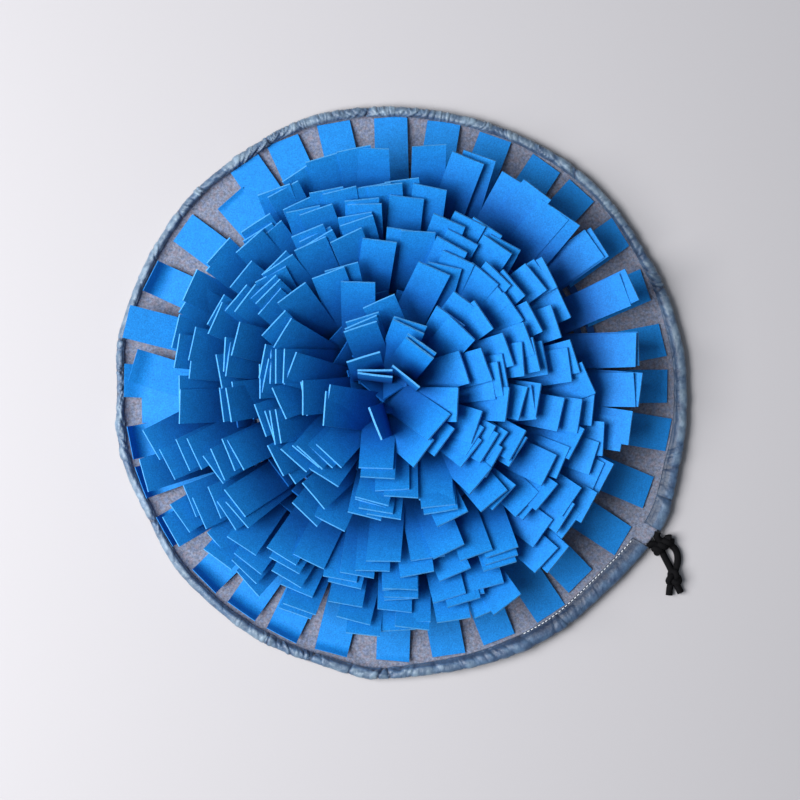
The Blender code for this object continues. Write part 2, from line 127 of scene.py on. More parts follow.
# --- rows of tabs --------------------------------------------------------------------------------
ROW_COUNT = 16
FIRST_ROW = 156.0 * MM        # radius of the circle that the outermost row is sewn on
ROW_STEP = 10.0 * MM
LAST_ROW = 7.0 * MM
FIRST_CENTRE = np.array((-3.2, 2.8, 0.0)) * MM
LAST_CENTRE = np.array((-15.5, 14.5, 0.0)) * MM
STEEPEST_ROOT = math.radians(93.0)
ROOT_HEIGHT = 2.8 * MM        # the top of the base, where the rows are sewn on
FLAT_ROOT, FLAT_TIP = 7.0 * MM, 1.8 * MM   # how high over it the first row's tabs start and end
STANDING_ROOT = 2.5 * MM      # how high over it the other rows' tabs start
BAND_INSIDE, BAND_OUTSIDE, BAND_HEIGHT = 1.0 * MM, 4.5 * MM, 3.0 * MM   # a row's sewn foot
FLAT_STEPS, STANDING_STEPS = 26, 10        # squares along a tab
# How far a tab may differ from its row: in length, turn and roll (deg), cup and skew.
LENGTH_SPREAD, TURN_SPREAD, ROLL_SPREAD = 2.5 * MM, 2.0, 5.0
CUP_SPREAD, SKEW_SPREAD = 0.3 * MM, 0.9 * MM
FLAT_TURN, FLAT_ROLL = 0.4, 0.3            # the first row's shares of these spreads
# How far the tabs reach outwards from their roots, in mm, by azimuth: with tips at the larger of
# REACH_RADII and beyond, and at the smaller and further in.
REACH_RADII = (120 * MM, 180 * MM)
REACH = (
    (0, 57.0, 46.0), (30, 58.0, 46.0), (60, 54.0, 46.0), (90, 47.0, 44.0), (120, 45.0, 43.0),
    (150, 46.0, 42.0), (180, 50.0, 42.0), (210, 52.0, 42.0), (240, 52.0, 43.0),
    (270, 48.0, 44.0), (300, 48.0, 45.0), (330, 54.0, 46.0),
)
# Tabs that stand steeper than their neighbours: where the tip lies and the reach, in mm.
STEEP_TABS = (
    (-20.5, -23.0, 9.0), (14.5, 36.5, 24.0), (12.5, 33.5, 24.0), (2.5, 12.1, 2.0),
)
# The flat first row: azimuth of each tip and its distance from the mat's middle (mm).
FLAT_TIPS = (
    (1.5, 208), (11.5, 208.6), (24, 209), (36.5, 213), (48.5, 212.5), (58, 213), (70, 214),
    (81.2, 216), (92.5, 217), (104.5, 219), (115.5, 220), (124.5, 219), (131.5, 205),
    (143, 216), (155, 218), (165.5, 220.7), (173.9, 212.5), (177.5, 219), (182.9, 205),
    (190.5, 217), (199, 217), (210.3, 216), (223.5, 214.5), (233.5, 213), (243.5, 213),
    (254.5, 212), (268, 211), (280, 209), (291.5, 208), (304, 209), (313.3, 203.4),
    (326, 208.6), (338, 208.2), (351, 211.5),
)
# Flat tabs that lie over others: azimuth of the tip, how far they turn from their spoke and their
# slope (deg).
OVERLAID_TABS = ((165.5, 0.0, 13.0), (173.9, -12.3, 3.4))
# Flat tabs that turn up at the rim: azimuth of the tip, how high it rises (mm), how steeply (deg).
BENT_TABS = (
    (131.5, 3, 45), (155, 13, 68), (173.9, 6, 32), (177.5, 7, 34), (190.5, 15, 80),
    (199, 15, 80), (210.3, 16, 80), (223.5, 14, 78), (233.5, 13, 76), (243.5, 11, 74),
    (254.5, 7, 62), (268, 3, 40),
)
BEND_ARC = 0.65               # share of a turned-up end that is an arc
TURNED_BACK = 0.17            # how far back its tip lies, of its height over the floor
TURNED_BASE = 4.0             # mm of that height that aren't in its rise
THIN_END = 0.65               # how much thinner it gets at its very end

# The standing tabs: where the middle of each tip lies (mm from the mat's middle), and the azimuth
# that the tab points to.
TAB_TIPS = (
    (176.5, 2, 359), (181, 3, 356), (141, 11.5, 23), (68.5, 8.5, 8), (74, 10, 9), (126.5, 21, 8),
    (177.5, 33, 2), (180, 34, 1), (130.5, 27.5, 14), (77.5, 17, 9), (108, 26, 8),
    (101, 28.5, 10), (91, 25.5, 7), (63.5, 21.5, 15), (47, 19, 15), (80, 32.5, 16),
    (95.5, 41, 17), (116.5, 54, 18), (169.5, 79.5, 24), (174.5, 83, 26), (122.5, 69, 26),
    (99.5, 58.5, 27), (147.5, 114, 34), (150.5, 116.5, 37), (84, 65.5, 36), (111.5, 91.5, 29),
    (107.5, 91, 32), (101, 88, 37), (61.5, 58.5, 35), (84, 83.5, 43), (74, 77.5, 38),
    (125, 134, 49), (45, 49, 49), (116, 139.5, 49), (72.5, 90, 50), (49.5, 68.5, 52),
    (62.5, 90, 50), (78, 114, 62), (102.5, 154.5, 49), (72.5, 111.5, 55), (36, 58.5, 61),
    (87, 162.5, 61), (64, 126, 57), (42.5, 102, 66), (14.5, 36.5, 56), (51.5, 131, 60),
    (45, 118, 62), (12.5, 33.5, 51), (37, 112, 66), (59, 180.5, 73), (31.5, 96, 75),
    (49, 178.5, 70), (35, 130, 69), (24, 93.5, 62), (21, 155.5, 82), (21, 187.5, 87),
    (6, 53.5, 68), (12, 121.5, 84), (5, 49.5, 66), (2.5, 148, 85), (1, 123, 85), (0, 161, 98),
    (-14, 156.5, 96), (-23.5, 184, 93), (-21, 156.5, 97), (-18, 115, 81), (-36.5, 184, 101),
    (-29.5, 142, 94), (-31, 145.5, 92), (-18.5, 69, 115), (-36.5, 134, 100), (-35.5, 129.5, 108),
    (-47, 152.5, 98), (-61.5, 177, 111), (-42.5, 118.5, 112), (-58, 152.5, 102), (-34, 83.5, 90),
    (-65, 138, 109), (-79.5, 167, 127), (-46.5, 95, 103), (-78, 143.5, 111), (-63.5, 116.5, 116),
    (-75.5, 138, 105), (-31, 56.5, 110), (-66.5, 119.5, 116), (-31.5, 53, 112), (-72, 122, 115),
    (-90.5, 153, 119), (-55.5, 90.5, 109), (-70, 112, 115), (-96.5, 153, 109), (-32, 49.5, 111),
    (-102, 121.5, 128), (-111, 127.5, 124), (-109.5, 121, 122), (-94, 96.5, 131),
    (-97.5, 97.5, 134), (-115, 114.5, 130), (-83, 75.5, 125), (-29.5, 26.5, 106),
    (-100, 89, 118), (-20.5, 16.5, 88), (-139, 107, 136), (-105, 79.5, 131), (-101.5, 76, 137),
    (-121.5, 90, 141), (-140.5, 102, 142), (-100, 69.5, 136), (-20.5, 13, 83), (-118.5, 71, 143),
    (-126, 71, 144), (-97, 52.5, 137), (-160, 81.5, 153), (-90.5, 45.5, 149), (-141, 63, 146),
    (-162.5, 71, 152), (-141, 56, 157), (-125.5, 40.5, 167), (-171.5, 46.5, 167),
    (-159, 37, 168), (-84.5, 19, 163), (-89.5, 20, 181), (-105.5, 23.5, 171), (-134, 29.5, 175),
    (-95.5, 20.5, 177), (-99.5, 20.5, 177), (-131.5, 25.5, 173), (-170, 31.5, 175),
    (-160, 23, 176), (-103.5, 12.5, 173), (-138.5, 16.5, 187), (-107.5, 9, 182),
    (-169, -0.5, 181), (-127, -4.5, 187), (-74.5, -4, 186), (-168.5, -10, 181), (-75, -4.5, 186),
    (-136.5, -9.5, 188), (-130.5, -10, 192), (-93, -8, 200), (-56.5, -7, 172), (-58.5, -11, 170),
    (-107.5, -20.5, 199), (-190.5, -40.5, 211), (-100, -25.5, 196), (-98, -26, 192),
    (-93.5, -25, 190), (-166, -47.5, 208), (-158, -46, 210), (-179, -53.5, 201),
    (-196.5, -62, 196), (-131, -47.5, 207), (-126.5, -46.5, 205), (-139.5, -54, 207),
    (-143.5, -58, 212), (-161.5, -83, 202), (-95.5, -51.5, 206), (-169, -95, 211),
    (-142.5, -83, 203), (-154, -91, 204), (-176, -105, 209), (-82, -51, 223),
    (-126.5, -83.5, 213), (-87.5, -58.5, 219), (-72.5, -48.5, 232), (-133.5, -92.5, 211),
    (-69.5, -49, 227), (-124.5, -92.5, 219), (-62, -48.5, 227), (-140.5, -115.5, 224),
    (-55.5, -48, 229), (-139.5, -126.5, 230), (-121.5, -116, 237), (-60, -63.5, 233),
    (-118, -129, 232), (-20.5, -23, 197), (-119.5, -136, 227), (-67, -78, 222),
    (-117.5, -145.5, 228), (-73.5, -92, 231), (-91.5, -123.5, 236), (-90, -130, 237),
    (-87.5, -141, 239), (-55, -99, 246), (-71, -128, 245), (-80, -150.5, 246),
    (-81.5, -167.5, 247), (-78, -163.5, 248), (-20.5, -57, 266), (-47.5, -141, 261),
    (-29.5, -93, 257), (-44.5, -145.5, 255), (-19, -64, 265), (-24, -81.5, 254),
    (-44, -159.5, 258), (-23, -84, 256), (-35, -138, 262), (-20.5, -89, 261), (-37, -172, 256),
    (-30.5, -182.5, 263), (-22.5, -134.5, 268), (-14, -93.5, 264), (-14.5, -127, 265),
    (-8, -73.5, 270), (-6, -165, 269), (-4, -180, 269), (-3, -148, 271), (-1, -78.5, 271),
    (-1, -148, 271), (-0.5, -144.5, 272), (-0.5, -155, 269), (-0.5, -156.5, 272),
    (7.5, -177.5, 267), (7.5, -173.5, 268), (10.5, -137, 277), (20, -125, 283),
    (35, -155.5, 283), (39, -172, 282), (46, -158.5, 283), (40, -137.5, 294),
    (35.5, -119.5, 293), (26.5, -85.5, 275), (26, -80.5, 273), (49.5, -154, 283),
    (29, -89.5, 277), (15.5, -46.5, 318), (37, -95.5, 294), (66.5, -165.5, 291), (65, -147, 286),
    (55.5, -122.5, 289), (79.5, -159.5, 307), (74, -131, 290), (74, -126.5, 285),
    (75, -120.5, 288), (31.5, -38, 322), (69.5, -81, 312), (109, -127, 319), (59, -66.5, 318),
    (117.5, -127, 316), (77, -79, 322), (106, -107.5, 322), (28, -25.5, 326), (94, -85.5, 314),
    (52, -46, 322), (99.5, -86, 322), (128, -102, 324), (123.5, -95.5, 325), (69, -53, 327),
    (109, -79.5, 324), (54.5, -37.5, 326), (65.5, -42, 332), (128.5, -82.5, 326),
    (141.5, -88, 327), (65, -36.5, 333), (72, -40.5, 326), (111, -58.5, 335), (87, -45.5, 329),
    (56, -27, 341), (87, -40, 331), (121.5, -53.5, 338), (149, -65, 333), (154.5, -66.5, 331),
    (146, -49.5, 342), (132, -39, 331), (153, -35, 355), (41.5, -9, 359), (168, -32.5, 351),
    (169.5, -32, 345), (173.5, -26.5, 352), (120, -17, 348), (134.5, -17, 353), (79, -9, 357),
    (91, -9, 346), (145, -11.5, 357), (99.5, -7, 7), (103, -5.5, 352), (2.5, 12.1, 47),
)
# Short tabs that fill the rows between the long ones: radii of their roots (mm).
FILLER_RINGS = (5.0, 17.0, 32.0, 46.0, 60.0, 74.0, 88.0, 102.0, 116.0)
FILLER_LENGTH, FILLER_REACH, FILLER_PITCH = 18 * MM, 11 * MM, 27 * MM
# The fillers keep more of the painted shade that darkens the tabs towards their roots.
FILLER_SHADE = 0.55           # how far up the felt's shading by depth a filler's tip comes


# --- numbers to meshes ---------------------------------------------------------------------------
def outward(azimuth, slope=0.0):
    """Unit vectors that point to these azimuths (deg) and rise at these slopes (rad)."""
    turned = np.radians(azimuth)
    level, rise = np.cos(slope), np.sin(slope) + np.zeros_like(turned)
    return np.stack([np.cos(turned) * level, np.sin(turned) * level, rise], axis=-1)


def read_round(table, azimuth, smooth=False):
    """Columns of a table of azimuths at any azimuths: straight between its rows, or on the cubic
    whose slope at each row is that of the line through the rows on both sides of it."""
    rows = np.array(table, float)
    laps = np.concatenate([np.column_stack([rows[:, 0] + lap * 360.0, rows[:, 1:]])
                           for lap in (-1, 0, 1, 2)])
    azimuth = np.mod(np.asarray(azimuth, float), 360.0)
    place = np.clip(np.searchsorted(laps[:, 0], azimuth, side="right") - 1, 1, len(laps) - 3)
    start, end = laps[place], laps[place + 1]
    span = end[..., 0] - start[..., 0]
    t = ((azimuth - start[..., 0]) / span)[..., None]
    if not smooth:
        return (start + (end - start) * t)[..., 1:]
    before, after = laps[place - 1], laps[place + 2]
    rise_in = (end - before) / (end[..., :1] - before[..., :1]) * span[..., None]
    rise_out = (after - start) / (after[..., :1] - start[..., :1]) * span[..., None]
    value = (start * (1 + 2 * t) * (1 - t) ** 2 + rise_in * t * (1 - t) ** 2
             + end * t * t * (3 - 2 * t) - rise_out * t * t * (1 - t))
    return value[..., 1:]


def wandering(length, knot_spacing, draw):
    """A smooth random line of this many values: draws a knot apart, joined by cosine steps."""
    knots = draw.uniform(-1.0, 1.0, int(length / knot_spacing) + 3)
    place = np.arange(length) / knot_spacing
    low = place.astype(int)
    share = (1 - np.cos((place - low) * math.pi)) / 2
    return knots[low] * (1 - share) + knots[low + 1] * share


def make_piece(name, points, faces, finishes, finish_of_face=None, sharp=None):
    """A mesh object of these points and faces at the origin, smooth except over a sharp angle."""
    mesh = bpy.data.meshes.new(name)
    points = np.ascontiguousarray(points.reshape(-1, 3), np.float32)
    faces = np.ascontiguousarray(faces.reshape(-1, 4), np.int32)
    mesh.vertices.add(len(points))
    mesh.vertices.foreach_set("co", points.ravel())
    mesh.loops.add(faces.size)
    mesh.loops.foreach_set("vertex_index", faces.ravel())
    mesh.polygons.add(len(faces))
    mesh.polygons.foreach_set("loop_start", np.arange(0, faces.size, 4, dtype=np.int32))
    for finish in finishes:
        mesh.materials.append(finish)
    if finish_of_face is not None:
        mesh.polygons.foreach_set("material_index", finish_of_face.astype(np.int32))
    mesh.update(calc_edges=True)
    mesh.shade_smooth()
    if sharp is not None:
        mesh.set_sharp_from_angle(angle=sharp)
    if mesh.validate():
        raise RuntimeError(f"{name} has faces that can't be kept")
    piece = bpy.data.objects.new(name, mesh)
    bpy.context.scene.collection.objects.link(piece)
    return piece


def mark_points(piece, name, values):
    """Gives the points of a piece a number each, for its finish to read."""
    marks = piece.data.attributes.new(name, "FLOAT", "POINT")
    marks.data.foreach_set("value", values.astype(np.float32).ravel())


def grid_faces(rows, columns, wrap_rows=False, wrap_columns=False):
    """Corner numbers of the squares of a grid whose points are numbered along its columns."""
    i = np.arange(rows if wrap_rows else rows - 1)
    j = np.arange(columns if wrap_columns else columns - 1)
    i, j = np.meshgrid(i, j, indexing="ij")
    a, b = i * columns + j, i * columns + (j + 1) % columns
    c = ((i + 1) % rows) * columns + (j + 1) % columns
    d = ((i + 1) % rows) * columns + j
    return np.stack([a, b, c, d], axis=-1).reshape(-1, 4)


# --- finishes ------------------------------------------------------------------------------------
class Finish:
    """A material's node tree while it is being wired."""

    def __init__(self, name):
        self.material = bpy.data.materials.new(name)
        self.material.use_nodes = True
        self.tree = self.material.node_tree
        self.shader = self.tree.nodes["Principled BSDF"]
        self.place = self.add("ShaderNodeTexCoord").outputs["Object"]

    def add(self, kind, **settings):
        """A new node of this kind."""
        node = self.tree.nodes.new(kind)
        for name, value in settings.items():
            setattr(node, name, value)
        return node

    def link(self, start, end):
        """Joins an output to an input."""
        self.tree.links.new(start, end)

    def surface(self, colour, roughness, specular=0.5, sheen=0.0, normal=None):
        """Sets the shader. The colour is a plain one or a node's output."""
        if isinstance(colour, bpy.types.NodeSocket):
            self.link(colour, self.shader.inputs["Base Color"])
        else:
            self.shader.inputs["Base Color"].default_value = (*colour, 1.0)
        self.shader.inputs["Roughness"].default_value = roughness
        self.shader.inputs["Specular IOR Level"].default_value = specular
        self.shader.inputs["Sheen Weight"].default_value = sheen
        if normal is not None:
            self.link(normal, self.shader.inputs["Normal"])
        return self.material

    def mark(self, name):
        """The numbers that mark_points gave under this name."""
        return self.add("ShaderNodeAttribute", attribute_name=name).outputs["Fac"]

    def noise(self, scale, detail=2.0, roughness=0.5):
        """Noise over the piece's own coordinates, this many times a metre."""
        node = self.add("ShaderNodeTexNoise")
        node.inputs["Scale"].default_value = scale
        node.inputs["Detail"].default_value = detail
        node.inputs["Roughness"].default_value = roughness
        self.link(self.place, node.inputs["Vector"])
        return node.outputs["Fac"]

    def ramp(self, value, stops):
        """A colour for each value, from these stops of place and colour."""
        node = self.add("ShaderNodeValToRGB")
        while len(node.color_ramp.elements) < len(stops):
            node.color_ramp.elements.new(0.5)
        for element, (position, colour) in zip(node.color_ramp.elements, stops):
            element.position = position
            element.color = (*colour, 1.0)
        self.link(value, node.inputs["Fac"])
        return node.outputs["Color"]

    def product(self, first, second):
        """Two colours multiplied. The colours of this kind of node are inputs 6 and 7, output 2."""
        node = self.add("ShaderNodeMix", data_type="RGBA", blend_type="MULTIPLY")
        node.inputs[0].default_value = 1.0
        self.link(first, node.inputs[6])
        self.link(second, node.inputs[7])
        return node.outputs[2]

    def bump(self, height, distance, strength, under=None):
        """A normal that is bumped by this height, over another's bumps where there are some."""
        node = self.add("ShaderNodeBump")
        node.inputs["Distance"].default_value = distance
        node.inputs["Strength"].default_value = strength
        self.link(height, node.inputs["Height"])
        if under is not None:
            self.link(under, node.inputs["Normal"])
        return node.outputs["Normal"]


def scaled(colour, factor):
    """A colour times a number, or times one number for each of its channels."""
    return tuple(np.minimum(1.0, np.multiply(colour, factor)))


def blue_felt_finish(name, colour, mottle):
    """Dense felt: fine grain, faint clouding of the dye, and painted shade towards the seam."""
    felt = Finish(name)
    # Painted shade: darker and bluer from a tab's tip down to its root, by the along marks.
    depth = felt.ramp(felt.mark("along"),
                      ((0.08, (0.22, 0.29, 0.43)), (0.52, (0.38, 0.49, 0.65)),
                       (0.90, (0.85, 0.91, 0.96)), (1.0, (1.0, 1.0, 1.0))))
    clouds = felt.ramp(felt.noise(160, 3.0, 0.6),
                       ((0.3, scaled(colour, 1 - mottle)), (0.7, scaled(colour, 1 + mottle))))
    fibres = felt.ramp(felt.noise(900, 3.0, 0.7),
                       ((0.32, (0.69, 0.73, 0.77)), (0.68, (1.25, 1.21, 1.17))))
    dyed = felt.product(felt.product(clouds, depth), fibres)
    grain = felt.bump(felt.noise(700, 4.0, 0.75), 0.0004, 0.5)
    waves = felt.bump(felt.noise(60, 2.0), 0.0015, 0.15, grain)
    return felt.surface(dyed, roughness=0.65, specular=0.19, normal=waves)


def grey_felt_finish(colour):
    """Needled felt of mixed fibres: pale, dark, reddish and bluish flecks a few mm across."""
    felt = Finish("grey_felt_heather")
    flecks = felt.ramp(felt.noise(520, 3.0, 0.75),
                       ((0.34, scaled(colour, 0.62)), (0.47, scaled(colour, 0.92)),
                        (0.56, scaled(colour, 1.10)), (0.68, scaled(colour, 1.42))))
    tint = felt.ramp(felt.noise(300, 2.0, 0.6),
                     ((0.38, (1.12, 0.95, 0.92)), (0.50, (1.0, 1.0, 1.0)),
                      (0.62, (0.92, 0.97, 1.10))))
    grain = felt.bump(felt.noise(600, 4.0, 0.8), 0.0006, 0.6)
    return felt.surface(felt.product(flecks, tint), roughness=0.97, specular=0.1, sheen=0.15,
                        normal=grain)


def casing_finish(colour):
    """Satin-faced polyester, soft shine, fine crushed weave; painted shade and light by its fold
    marks.
    """
    cloth = Finish("casing_satin")
    # Painted shade by the fold marks: darkest and bluest in deep valleys, by the hem and at
    # pinches, lighter on open ridges.
    shades = cloth.ramp(cloth.mark("fold"),
                        ((0.05, scaled(colour, (0.06, 0.13, 0.24))),
                         (0.32, scaled(colour, (0.36, 0.52, 0.72))),
                         (0.62, colour), (0.95, scaled(colour, 1.4))))
    clouds = cloth.ramp(cloth.noise(120, 4.0, 0.6),
                        ((0.40, (0.52, 0.60, 0.70)), (0.60, (1.28, 1.22, 1.16))))
    weave = cloth.bump(cloth.noise(1500, 1.0), 0.0002, 0.3)
    crush = cloth.bump(cloth.noise(330, 3.0, 0.6), 0.0012, 0.5, weave)
    return cloth.surface(cloth.product(shades, clouds), roughness=0.52, specular=0.6, sheen=0.2,
                         normal=crush)


def plain_finish(name, colour, roughness):
    """One colour all over."""
    return Finish(name).surface(colour, roughness)


def cord_finish(colour):
    """Braided elastic: black, with the small bumps of its braid."""
    cord = Finish("black_braid")
    braid = cord.bump(cord.noise(750, 2.0), 0.0006, 0.9)
    return cord.surface(colour, roughness=0.85, specular=0.1, normal=braid)


# --- base and casing -----------------------------------------------------------------------------
def rim_measures(azimuth):
    """For each azimuth: where the felt leaves the floor, the curl's radius, the straight run after
    it, the tilt and the casing's width. Felt rolls up on an arc and runs straight to its edge."""
    outer, tilt, width = np.moveaxis(read_round(RIM, azimuth, smooth=True), -1, 0)
    tilt = np.radians(tilt)
    curl = np.maximum(LEAST_CURL, CASING_LIFT * tilt / (1.0 - np.cos(tilt)))
    radius = curl / tilt
    width = width * MM
    edge = (outer * MM - (NOSE_SHARE * width + NOSE_SPARE) * np.cos(tilt)
            - (CASING_CLOTH + SLOT_GAP) * np.sin(tilt))
    straight = width + BARE_RIM
    start = edge - straight * np.cos(tilt) - radius * np.sin(tilt)
    return start, radius, straight, tilt, width


def on_rim(start, radius, tilt, run, lift):
    """Radius and height of the place this far up the straight run and this far off its underside,
    for a rim that leaves the floor at this start, on a curl of this radius, and has this tilt."""
    r = start + radius * np.sin(tilt) + run * np.cos(tilt) - lift * np.sin(tilt)
    z = radius * (1 - np.cos(tilt)) + run * np.sin(tilt) + lift * np.cos(tilt)
    return r, z


def base_surface(stations):
    """The felt's underside: rings out from the middle to where it leaves the floor, then the arc of
    the curl by angle, then the straight run, for every azimuth at once."""
    azimuth = np.linspace(0, 360, stations, endpoint=False)
    start, radius, straight, tilt, _ = (m[:, None] for m in rim_measures(azimuth))
    flat_r = start * np.array((0.02, 0.3, 0.55, 0.72, 0.82, 0.9, 0.96, 1.0))
    arc_r, arc_z = on_rim(start, radius, tilt * np.linspace(0, 1, 9)[1:], 0.0, 0.0)
    run_r, run_z = on_rim(start, radius, tilt, straight * np.linspace(0, 1, 7)[1:], 0.0)
    r = np.concatenate([flat_r, arc_r, run_r], axis=1)
    z = np.concatenate([np.zeros_like(flat_r), arc_z, run_z], axis=1)
    points = outward(azimuth)[:, None, :] * r[..., None]
    points[..., 2] = z
    return points + MAT_PLACE


def felt_base(settings):
    """The base's underside, closed over the middle, with the felt's thickness on top."""
    stations = 360
    points = base_surface(stations)
    columns = points.shape[1]
    faces = grid_faces(stations, columns, wrap_rows=True)[:, ::-1]
    piece = make_piece("mat_base", points, faces, [grey_felt_finish(tuple(settings.base_colour))])
    bm = bmesh.new()
    bm.from_mesh(piece.data)
    bm.verts.ensure_lookup_table()
    bm.faces.new([bm.verts[k * columns] for k in range(stations)]).smooth = True
    bmesh.ops.recalc_face_normals(bm, faces=bm.faces)
    if sum(face.normal.z * face.calc_area() for face in bm.faces) < 0:
        bmesh.ops.reverse_faces(bm, faces=bm.faces)
    bm.to_mesh(piece.data)
    bm.free()
    wall = piece.modifiers.new("felt thickness", "SOLIDIFY")
    wall.thickness = FELT_THICK
    wall.offset = 1.0
    return piece


def casing_outline():
    """The folded cloth across the rim, as (share of the width, height in mm, how much the gathers
    move it, height of the cord's channel): top from the hem to the nose, then back underneath."""
    return np.array((
        (-1.00, 2.05, 0.30, 0.00), (-0.94, 2.75, 0.45, 0.00), (-0.86, 3.00, 0.60, 0.00),
        (-0.78, 2.85, 0.50, 0.00), (-0.70, 3.15, 0.70, 0.35), (-0.58, 3.35, 0.90, 0.80),
        (-0.45, 3.45, 1.00, 1.00), (-0.30, 3.40, 1.00, 1.00), (-0.15, 3.20, 1.00, 0.80),
        (0.00, 2.75, 1.00, 0.45), (0.12, 2.05, 1.00, 0.20), (0.20, 1.10, 1.00, 0.05),
        (NOSE_SHARE, 0.10, 1.00, 0.00), (0.20, -0.90, 0.90, 0.00), (0.12, -1.80, 0.80, 0.00),
        (0.00, -2.40, 0.70, 0.00), (-0.18, -2.80, 0.60, 0.15), (-0.38, -3.00, 0.60, 0.25),
        (-0.58, -2.95, 0.50, 0.15), (-0.78, -2.80, 0.35, 0.00), (-0.92, -2.75, 0.25, 0.00),
        (-1.00, -2.20, 0.15, 0.00), (-0.97, -1.95, 0.00, 0.00), (-0.50, -1.95, 0.00, 0.00),
        (0.04, -1.95, 0.00, 0.00), (0.04, 1.95, 0.00, 0.00), (-0.50, 1.95, 0.00, 0.00),
        (-0.97, 1.95, 0.00, 0.00),
    ))


def gather_ridges(place, draw):
    """Ridges, 0 to 1, that lean to one side, between valleys whose spacing and depth wander. They
    are one apart on average and start well before place 0, where slants can still reach."""
    start, spare = -12.0, 60
    valleys = np.cumsum(draw.uniform(0.35, 1.65, int(place.max() * 1.1) + spare)) + start
    floors = draw.uniform(0.0, 0.8, len(valleys)) ** 1.6
    heights = draw.uniform(0.35, 1.0, len(valleys) + 1)
    lean = draw.uniform(0.5, 1.9, len(valleys) + 1)
    between = np.searchsorted(valleys, place.ravel()).reshape(place.shape)
    t = (place - valleys[between - 1]) / (valleys[between] - valleys[between - 1])
    floor = floors[between - 1] * (1 - t) + floors[between] * t
    ridge = np.sin(t ** lean[between] * math.pi) ** 0.5
    return floor + np.maximum(heights[between] - floor, 0.1) * ridge


def slanted_ridges(count, x, slant, knot_spacing, draw):
    """Ridges by this count along the rim. Their slant across it wanders between plus and minus this
    many counts."""
    wander = wandering(len(count), knot_spacing, draw)[:, None]
    return gather_ridges(count + slant * wander * x, draw)


def cloth_folds(azimuth, x, gather):
    """How far the folds move the cloth (mm), how far it puffs up and how light its painted shade
    leaves it, at these azimuths and these shares of the width. Slanted gathers, finer creases and
    long diagonal wrinkles, each with their own slants and strengths, run over slow lumps of the
    cloth, and a few
    sharp folds pinch it: a dip of depth / (1 + (distance / half width) squared)."""
    draw = np.random.default_rng(11)
    stations = len(azimuth)
    table = read_round(GATHERS, azimuth, smooth=True)
    spacing, fine, lump, puff, dark = np.moveaxis(table, -1, 0)[..., None]
    along = np.radians(azimuth - azimuth[0])[:, None] * RIM_RADIUS
    crowding = 1.0 + 0.55 * wandering(stations, 45, draw)[:, None]
    count = np.cumsum((along[1] - along[0]) / spacing * crowding, axis=0)
    gathers = slanted_ridges(count, x, GATHER_SLANT / spacing, 50, draw)
    creases = slanted_ridges(CREASE_COUNT * count, x, CREASE_COUNT * CREASE_SLANT / spacing,
                             40, draw)
    wrinkles = slanted_ridges(along / WRINKLE_SPACING, x, WRINKLE_SLANT / WRINKLE_SPACING,
                              110, draw)
    lumps = gather_ridges(along / LUMP_SPACING + 0.25 * x, draw)
    strength = fine * (1.0 + 0.5 * wandering(stations, 40, draw)[:, None])
    fold = 0.5 * gathers + 0.2 * creases + 0.3 * wrinkles

    place, deep = np.array(PINCHES).T
    away = np.radians(np.mod(azimuth[:, None, None] - place + 180.0, 360.0) - 180.0) * RIM_RADIUS
    lean = PINCH_SLANT * draw.uniform(-1.0, 1.0, len(place)) * x[:, None]
    pinch = 1 / (1 + ((away + lean) / (PINCH_WIDTH / 2)) ** 2)
    lift = gather * (strength * (3.2 * fold - 1.8) + lump * (lumps - 0.6)
                     - (pinch * deep).sum(axis=-1))

    # Painted shade: valleys are as dark as their gathers are strong, the part by the hem is as dark
    # as
    # GATHERS says and the rest a little, and a pinch is darker than both.
    depth = np.clip(strength, 0, 1.2) / 1.2
    open_cloth = np.clip(1.25 * fold - 0.05, 0, 1) * (0.55 + 0.45 * lumps)
    inner = np.clip((-0.26 - x) / 0.22, 0, 1) * (x > -0.96)
    painted_hem_and_pinch_shade = dark * (dark ** 3 * (1 - inner) + inner)
    painted_hem_and_pinch_shade = np.maximum(painted_hem_and_pinch_shade, 0.9 * np.minimum(pinch.sum(axis=-1), 1.0))
    return lift, puff, (1 - depth * (1 - open_cloth)) * (1 - painted_hem_and_pinch_shade)


def outline_normals(outline):
    """Unit normals at the points of the outline of a casing that is OUTLINE_WIDTH wide."""
    points = outline[:, :2] * (OUTLINE_WIDTH, 1.0)
    tangent = np.roll(points, -1, axis=0) - np.roll(points, 1, axis=0)
    normal = np.stack([-tangent[:, 1], tangent[:, 0]], axis=-1)
    return normal / np.linalg.norm(normal, axis=1, keepdims=True)


def edge_casing(settings):
    """The outline carried along the felt's edge, with the folds of its cloth along its normals."""
    azimuth = np.linspace(*CASING_ENDS, CASING_STATIONS)
    start, radius, straight, tilt, width = (m[:, None] for m in rim_measures(azimuth))
    outline = casing_outline()
    x, height, moved, channel = outline.T
    lift, puff, shade = cloth_folds(azimuth, x, settings.gather)
    lift = lift * moved * MM
    normal = outline_normals(outline)
    run = straight + x * width + normal[:, 0] * lift * LEVEL_SHARE
    high = (height * np.where(moved > 0, puff, 1.0) + channel * CORD_SWELL) * MM
    r, z = on_rim(start, radius, tilt, run, FELT_THICK / 2 + high + normal[:, 1] * lift)
    points = outward(azimuth)[:, None, :] * r[..., None]
    points[..., 2] = np.maximum(z, FLOOR_GAP)
    columns = len(outline)
    faces = grid_faces(CASING_STATIONS, columns, wrap_columns=True)
    # Each open end is closed by a strip from the outer outline to the slot's.
    pairs = np.arange(columns // 2)
    first, second = pairs[:-1], pairs[1:]
    cap = np.stack([first, second, columns - 1 - second, columns - 1 - first], axis=-1)
    faces = np.concatenate([faces, cap, cap[:, ::-1] + (CASING_STATIONS - 1) * columns])
    piece = make_piece("mat_casing", points + MAT_PLACE, faces,
                       [casing_finish(tuple(settings.casing_colour))])
    # The fold marks carry the painted shade of the folds, the hem and the pinches to the finish.
    mark_points(piece, "fold", shade)
    return piece


